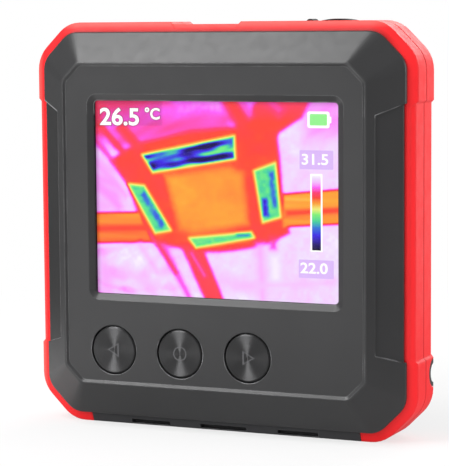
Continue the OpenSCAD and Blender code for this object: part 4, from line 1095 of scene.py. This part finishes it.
def place_camera():
    """A camera that looks at the case from the photograph's side."""
    level = math.cos(CAM_PITCH)
    back = Vector((math.sin(CAM_YAW) * level, -math.cos(CAM_YAW) * level, math.sin(CAM_PITCH)))
    right = (-back).cross(Vector((0, 0, 1))).normalized()
    up = right.cross(-back)
    target = at(0, CAM_TARGET_D, 0) + right * CAM_RIGHT * MM + up * CAM_UP * MM
    rolled_right = right * math.cos(CAM_ROLL) + up * math.sin(CAM_ROLL)
    rolled_up = up * math.cos(CAM_ROLL) - right * math.sin(CAM_ROLL)
    data = bpy.data.cameras.new("camera")
    data.sensor_width = CAM_SENSOR
    data.sensor_fit = "AUTO"
    data.lens = CAM_FOCAL / max(IMAGE_SIZE) * CAM_SENSOR
    data.clip_start, data.clip_end = CAM_CLIP
    camera = bpy.data.objects.new("camera", data)
    pose = Matrix((rolled_right, rolled_up, back)).transposed().to_4x4()
    pose.translation = target + back * CAM_DISTANCE
    camera.matrix_world = pose
    SCENE.collection.objects.link(camera)
    SCENE.camera = camera


# Floor, world and lamps

FLOOR_HALF = 6.0
FLOOR_DARK, FLOOR_PALE = grey(0.78), grey(0.82)
# How white the floor is to the camera, by distance from the object's middle
WHITE_AWAY, WHITE_SHARE = (0.06, 0.24), (0.68, 1.0)
# What reflections see: a dim room, and one pale panel at the front left with its light on the floor
ROOM_DIM = 0.15
PANEL_AXIS, PANEL_FADE, PANEL_WORLD = (-0.40, -0.91, -0.10), (0.72, 0.95), 0.42
PANEL_SPREAD, PANEL_FLOOR = (0.60, 0.90), 1.12
PANEL_NEAR, PANEL_FAR, PANEL_FAR_SHARE = (0.08, 0.13), (0.25, 1.0), 0.42
DIM_AWAY, DIM_NEAR = (0.06, 0.12), 0.38
# The floor is white toward the backdrop, and takes the lamps' light close by on the left
BACK_Y, BACK_SPREAD = (0.02, 0.30), (0.15, 0.50)
LIT_AWAY, LIT_X = (0.11, 0.19), (-0.050, -0.035)
BACKDROP_AXIS, BACKDROP_FADE = (0, 1, 0), (0.40, 0.80)
# Even light of the world, weaker from the left
WORLD_LIGHT = 0.68
LEFT_AXIS, LEFT_FADE, LEFT_DIM = (-1, 0, 0), (0.1, 0.8), 0.35

# Place, size and power of each lamp
LAMP_TARGET = Vector((0, 0, 0.045))
LAMPS = {
    "lamp_top": ((-0.235, -0.20, 0.55), (0.29, 0.26), 1.7),
    "lamp_front": ((-0.315, -0.48, 0.38), (0.29, 0.20), 2.2),
    "lamp_right": ((0.75, 0.15, 0.22), (0.40, 0.40), 2.0),
    "lamp_back": ((0.1, 0.65, 0.45), (0.50, 0.50), 2.0),
}


def floor_mirrored(m, away):
    """Light of the floor in reflections: dim, but pale at the front left and toward the backdrop."""
    ahead = m.math("DIVIDE", m.dot(m.coords(), unit(PANEL_AXIS[:2] + (0.0,))), away)
    reach = m.product(m.span(away, PANEL_NEAR), m.span(away, PANEL_FAR, (1.0, PANEL_FAR_SHARE)))
    panel = m.product(m.span(ahead, PANEL_SPREAD, (0.0, PANEL_FLOOR), smooth=True), reach)
    dim = m.span(away, DIM_AWAY, (DIM_NEAR, ROOM_DIM))
    back = m.axis("Y")
    spread = m.span(m.math("DIVIDE", back, away), BACK_SPREAD)
    behind = m.product(m.span(back, BACK_Y, smooth=True), spread)
    return m.highest(dim, panel, behind)


def floor():
    """Pale floor that the camera sees as white further out, with a tone of its own in reflections."""
    mesh = bpy.data.meshes.new("floor")
    s = FLOOR_HALF
    mesh.from_pydata([(-s, -s, 0), (s, -s, 0), (s, s, 0), (-s, s, 0)], [], [(0, 1, 2, 3)])
    obj = bpy.data.objects.new("floor", mesh)
    SCENE.collection.objects.link(obj)
    m = Mat("floor")
    m.set(Base_Color=m.mix(m.noise(3.0), FLOOR_DARK, FLOOR_PALE), Roughness=0.9, Specular_IOR_Level=0.1)
    direct, glossy = m.rays()
    away = m.length(m.coords())
    lit = m.product(m.span(away, LIT_AWAY, FALL), m.span(m.axis("X"), LIT_X, FALL))
    light = m.add("ShaderNodeEmission", {"Color": grey(1.0)})
    m.join(m.highest(direct, m.product(glossy, floor_mirrored(m, away))), light.inputs["Strength"])
    share_direct = m.product(direct, m.span(away, WHITE_AWAY, WHITE_SHARE, smooth=True))
    share_mirrored = m.product(glossy, m.math("SUBTRACT", 1.0, lit))
    mix = m.add("ShaderNodeMixShader")
    m.join(m.highest(share_direct, share_mirrored), mix.inputs["Fac"])
    m.join(m.shader.outputs["BSDF"], mix.inputs[1])
    m.join(light.outputs["Emission"], mix.inputs[2])
    m.join(mix.outputs["Shader"], m.out.inputs["Surface"])
    mesh.materials.append(m.made)


def world():
    """White backdrop behind the object, and a dimmer room in front with a pale panel at the front left."""
    studio = bpy.data.worlds.new("studio")
    SCENE.world = studio
    studio.use_nodes = True
    n = Nodes(studio.node_tree)
    way = n.coords("Generated")

    def toward(axis, fade):
        """1 in a direction, fading to 0 away from it."""
        return n.span(n.dot(way, unit(axis)), fade, smooth=True)

    panel = n.product(toward(PANEL_AXIS, PANEL_FADE), PANEL_WORLD)
    pale = n.highest(toward(BACKDROP_AXIS, BACKDROP_FADE), panel)
    mirrored = n.math("ADD", ROOM_DIM, n.product(pale, 1.0 - ROOM_DIM))
    direct, glossy = n.rays()
    shown = n.highest(direct, n.product(glossy, mirrored))
    level = n.math("SUBTRACT", WORLD_LIGHT, n.product(toward(LEFT_AXIS, LEFT_FADE), LEFT_DIM))
    light = n.product(n.math("SUBTRACT", 1.0, n.highest(direct, glossy)), level)
    back = n.add("ShaderNodeBackground", {"Color": grey(1.0)})
    n.join(n.math("ADD", shown, light), back.inputs["Strength"])
    n.join(back.outputs[0], n.add("ShaderNodeOutputWorld").inputs["Surface"])


def lamp(name, place, size, power):
    """A rectangular lamp that points at the middle of the case."""
    data = bpy.data.lights.new(name, "AREA")
    data.shape = "RECTANGLE"
    data.size, data.size_y = size
    data.energy = power
    obj = bpy.data.objects.new(name, data)
    obj.location = place
    obj.rotation_euler = (LAMP_TARGET - Vector(place)).to_track_quat("-Z", "Y").to_euler()
    SCENE.collection.objects.link(obj)


paint()
display_picture()
display_signs()
button_signs()
place_camera()
floor()
world()
for lamp_name, lamp_values in LAMPS.items():
    lamp(lamp_name, *lamp_values)

SCENE.view_settings.view_transform = "Standard"
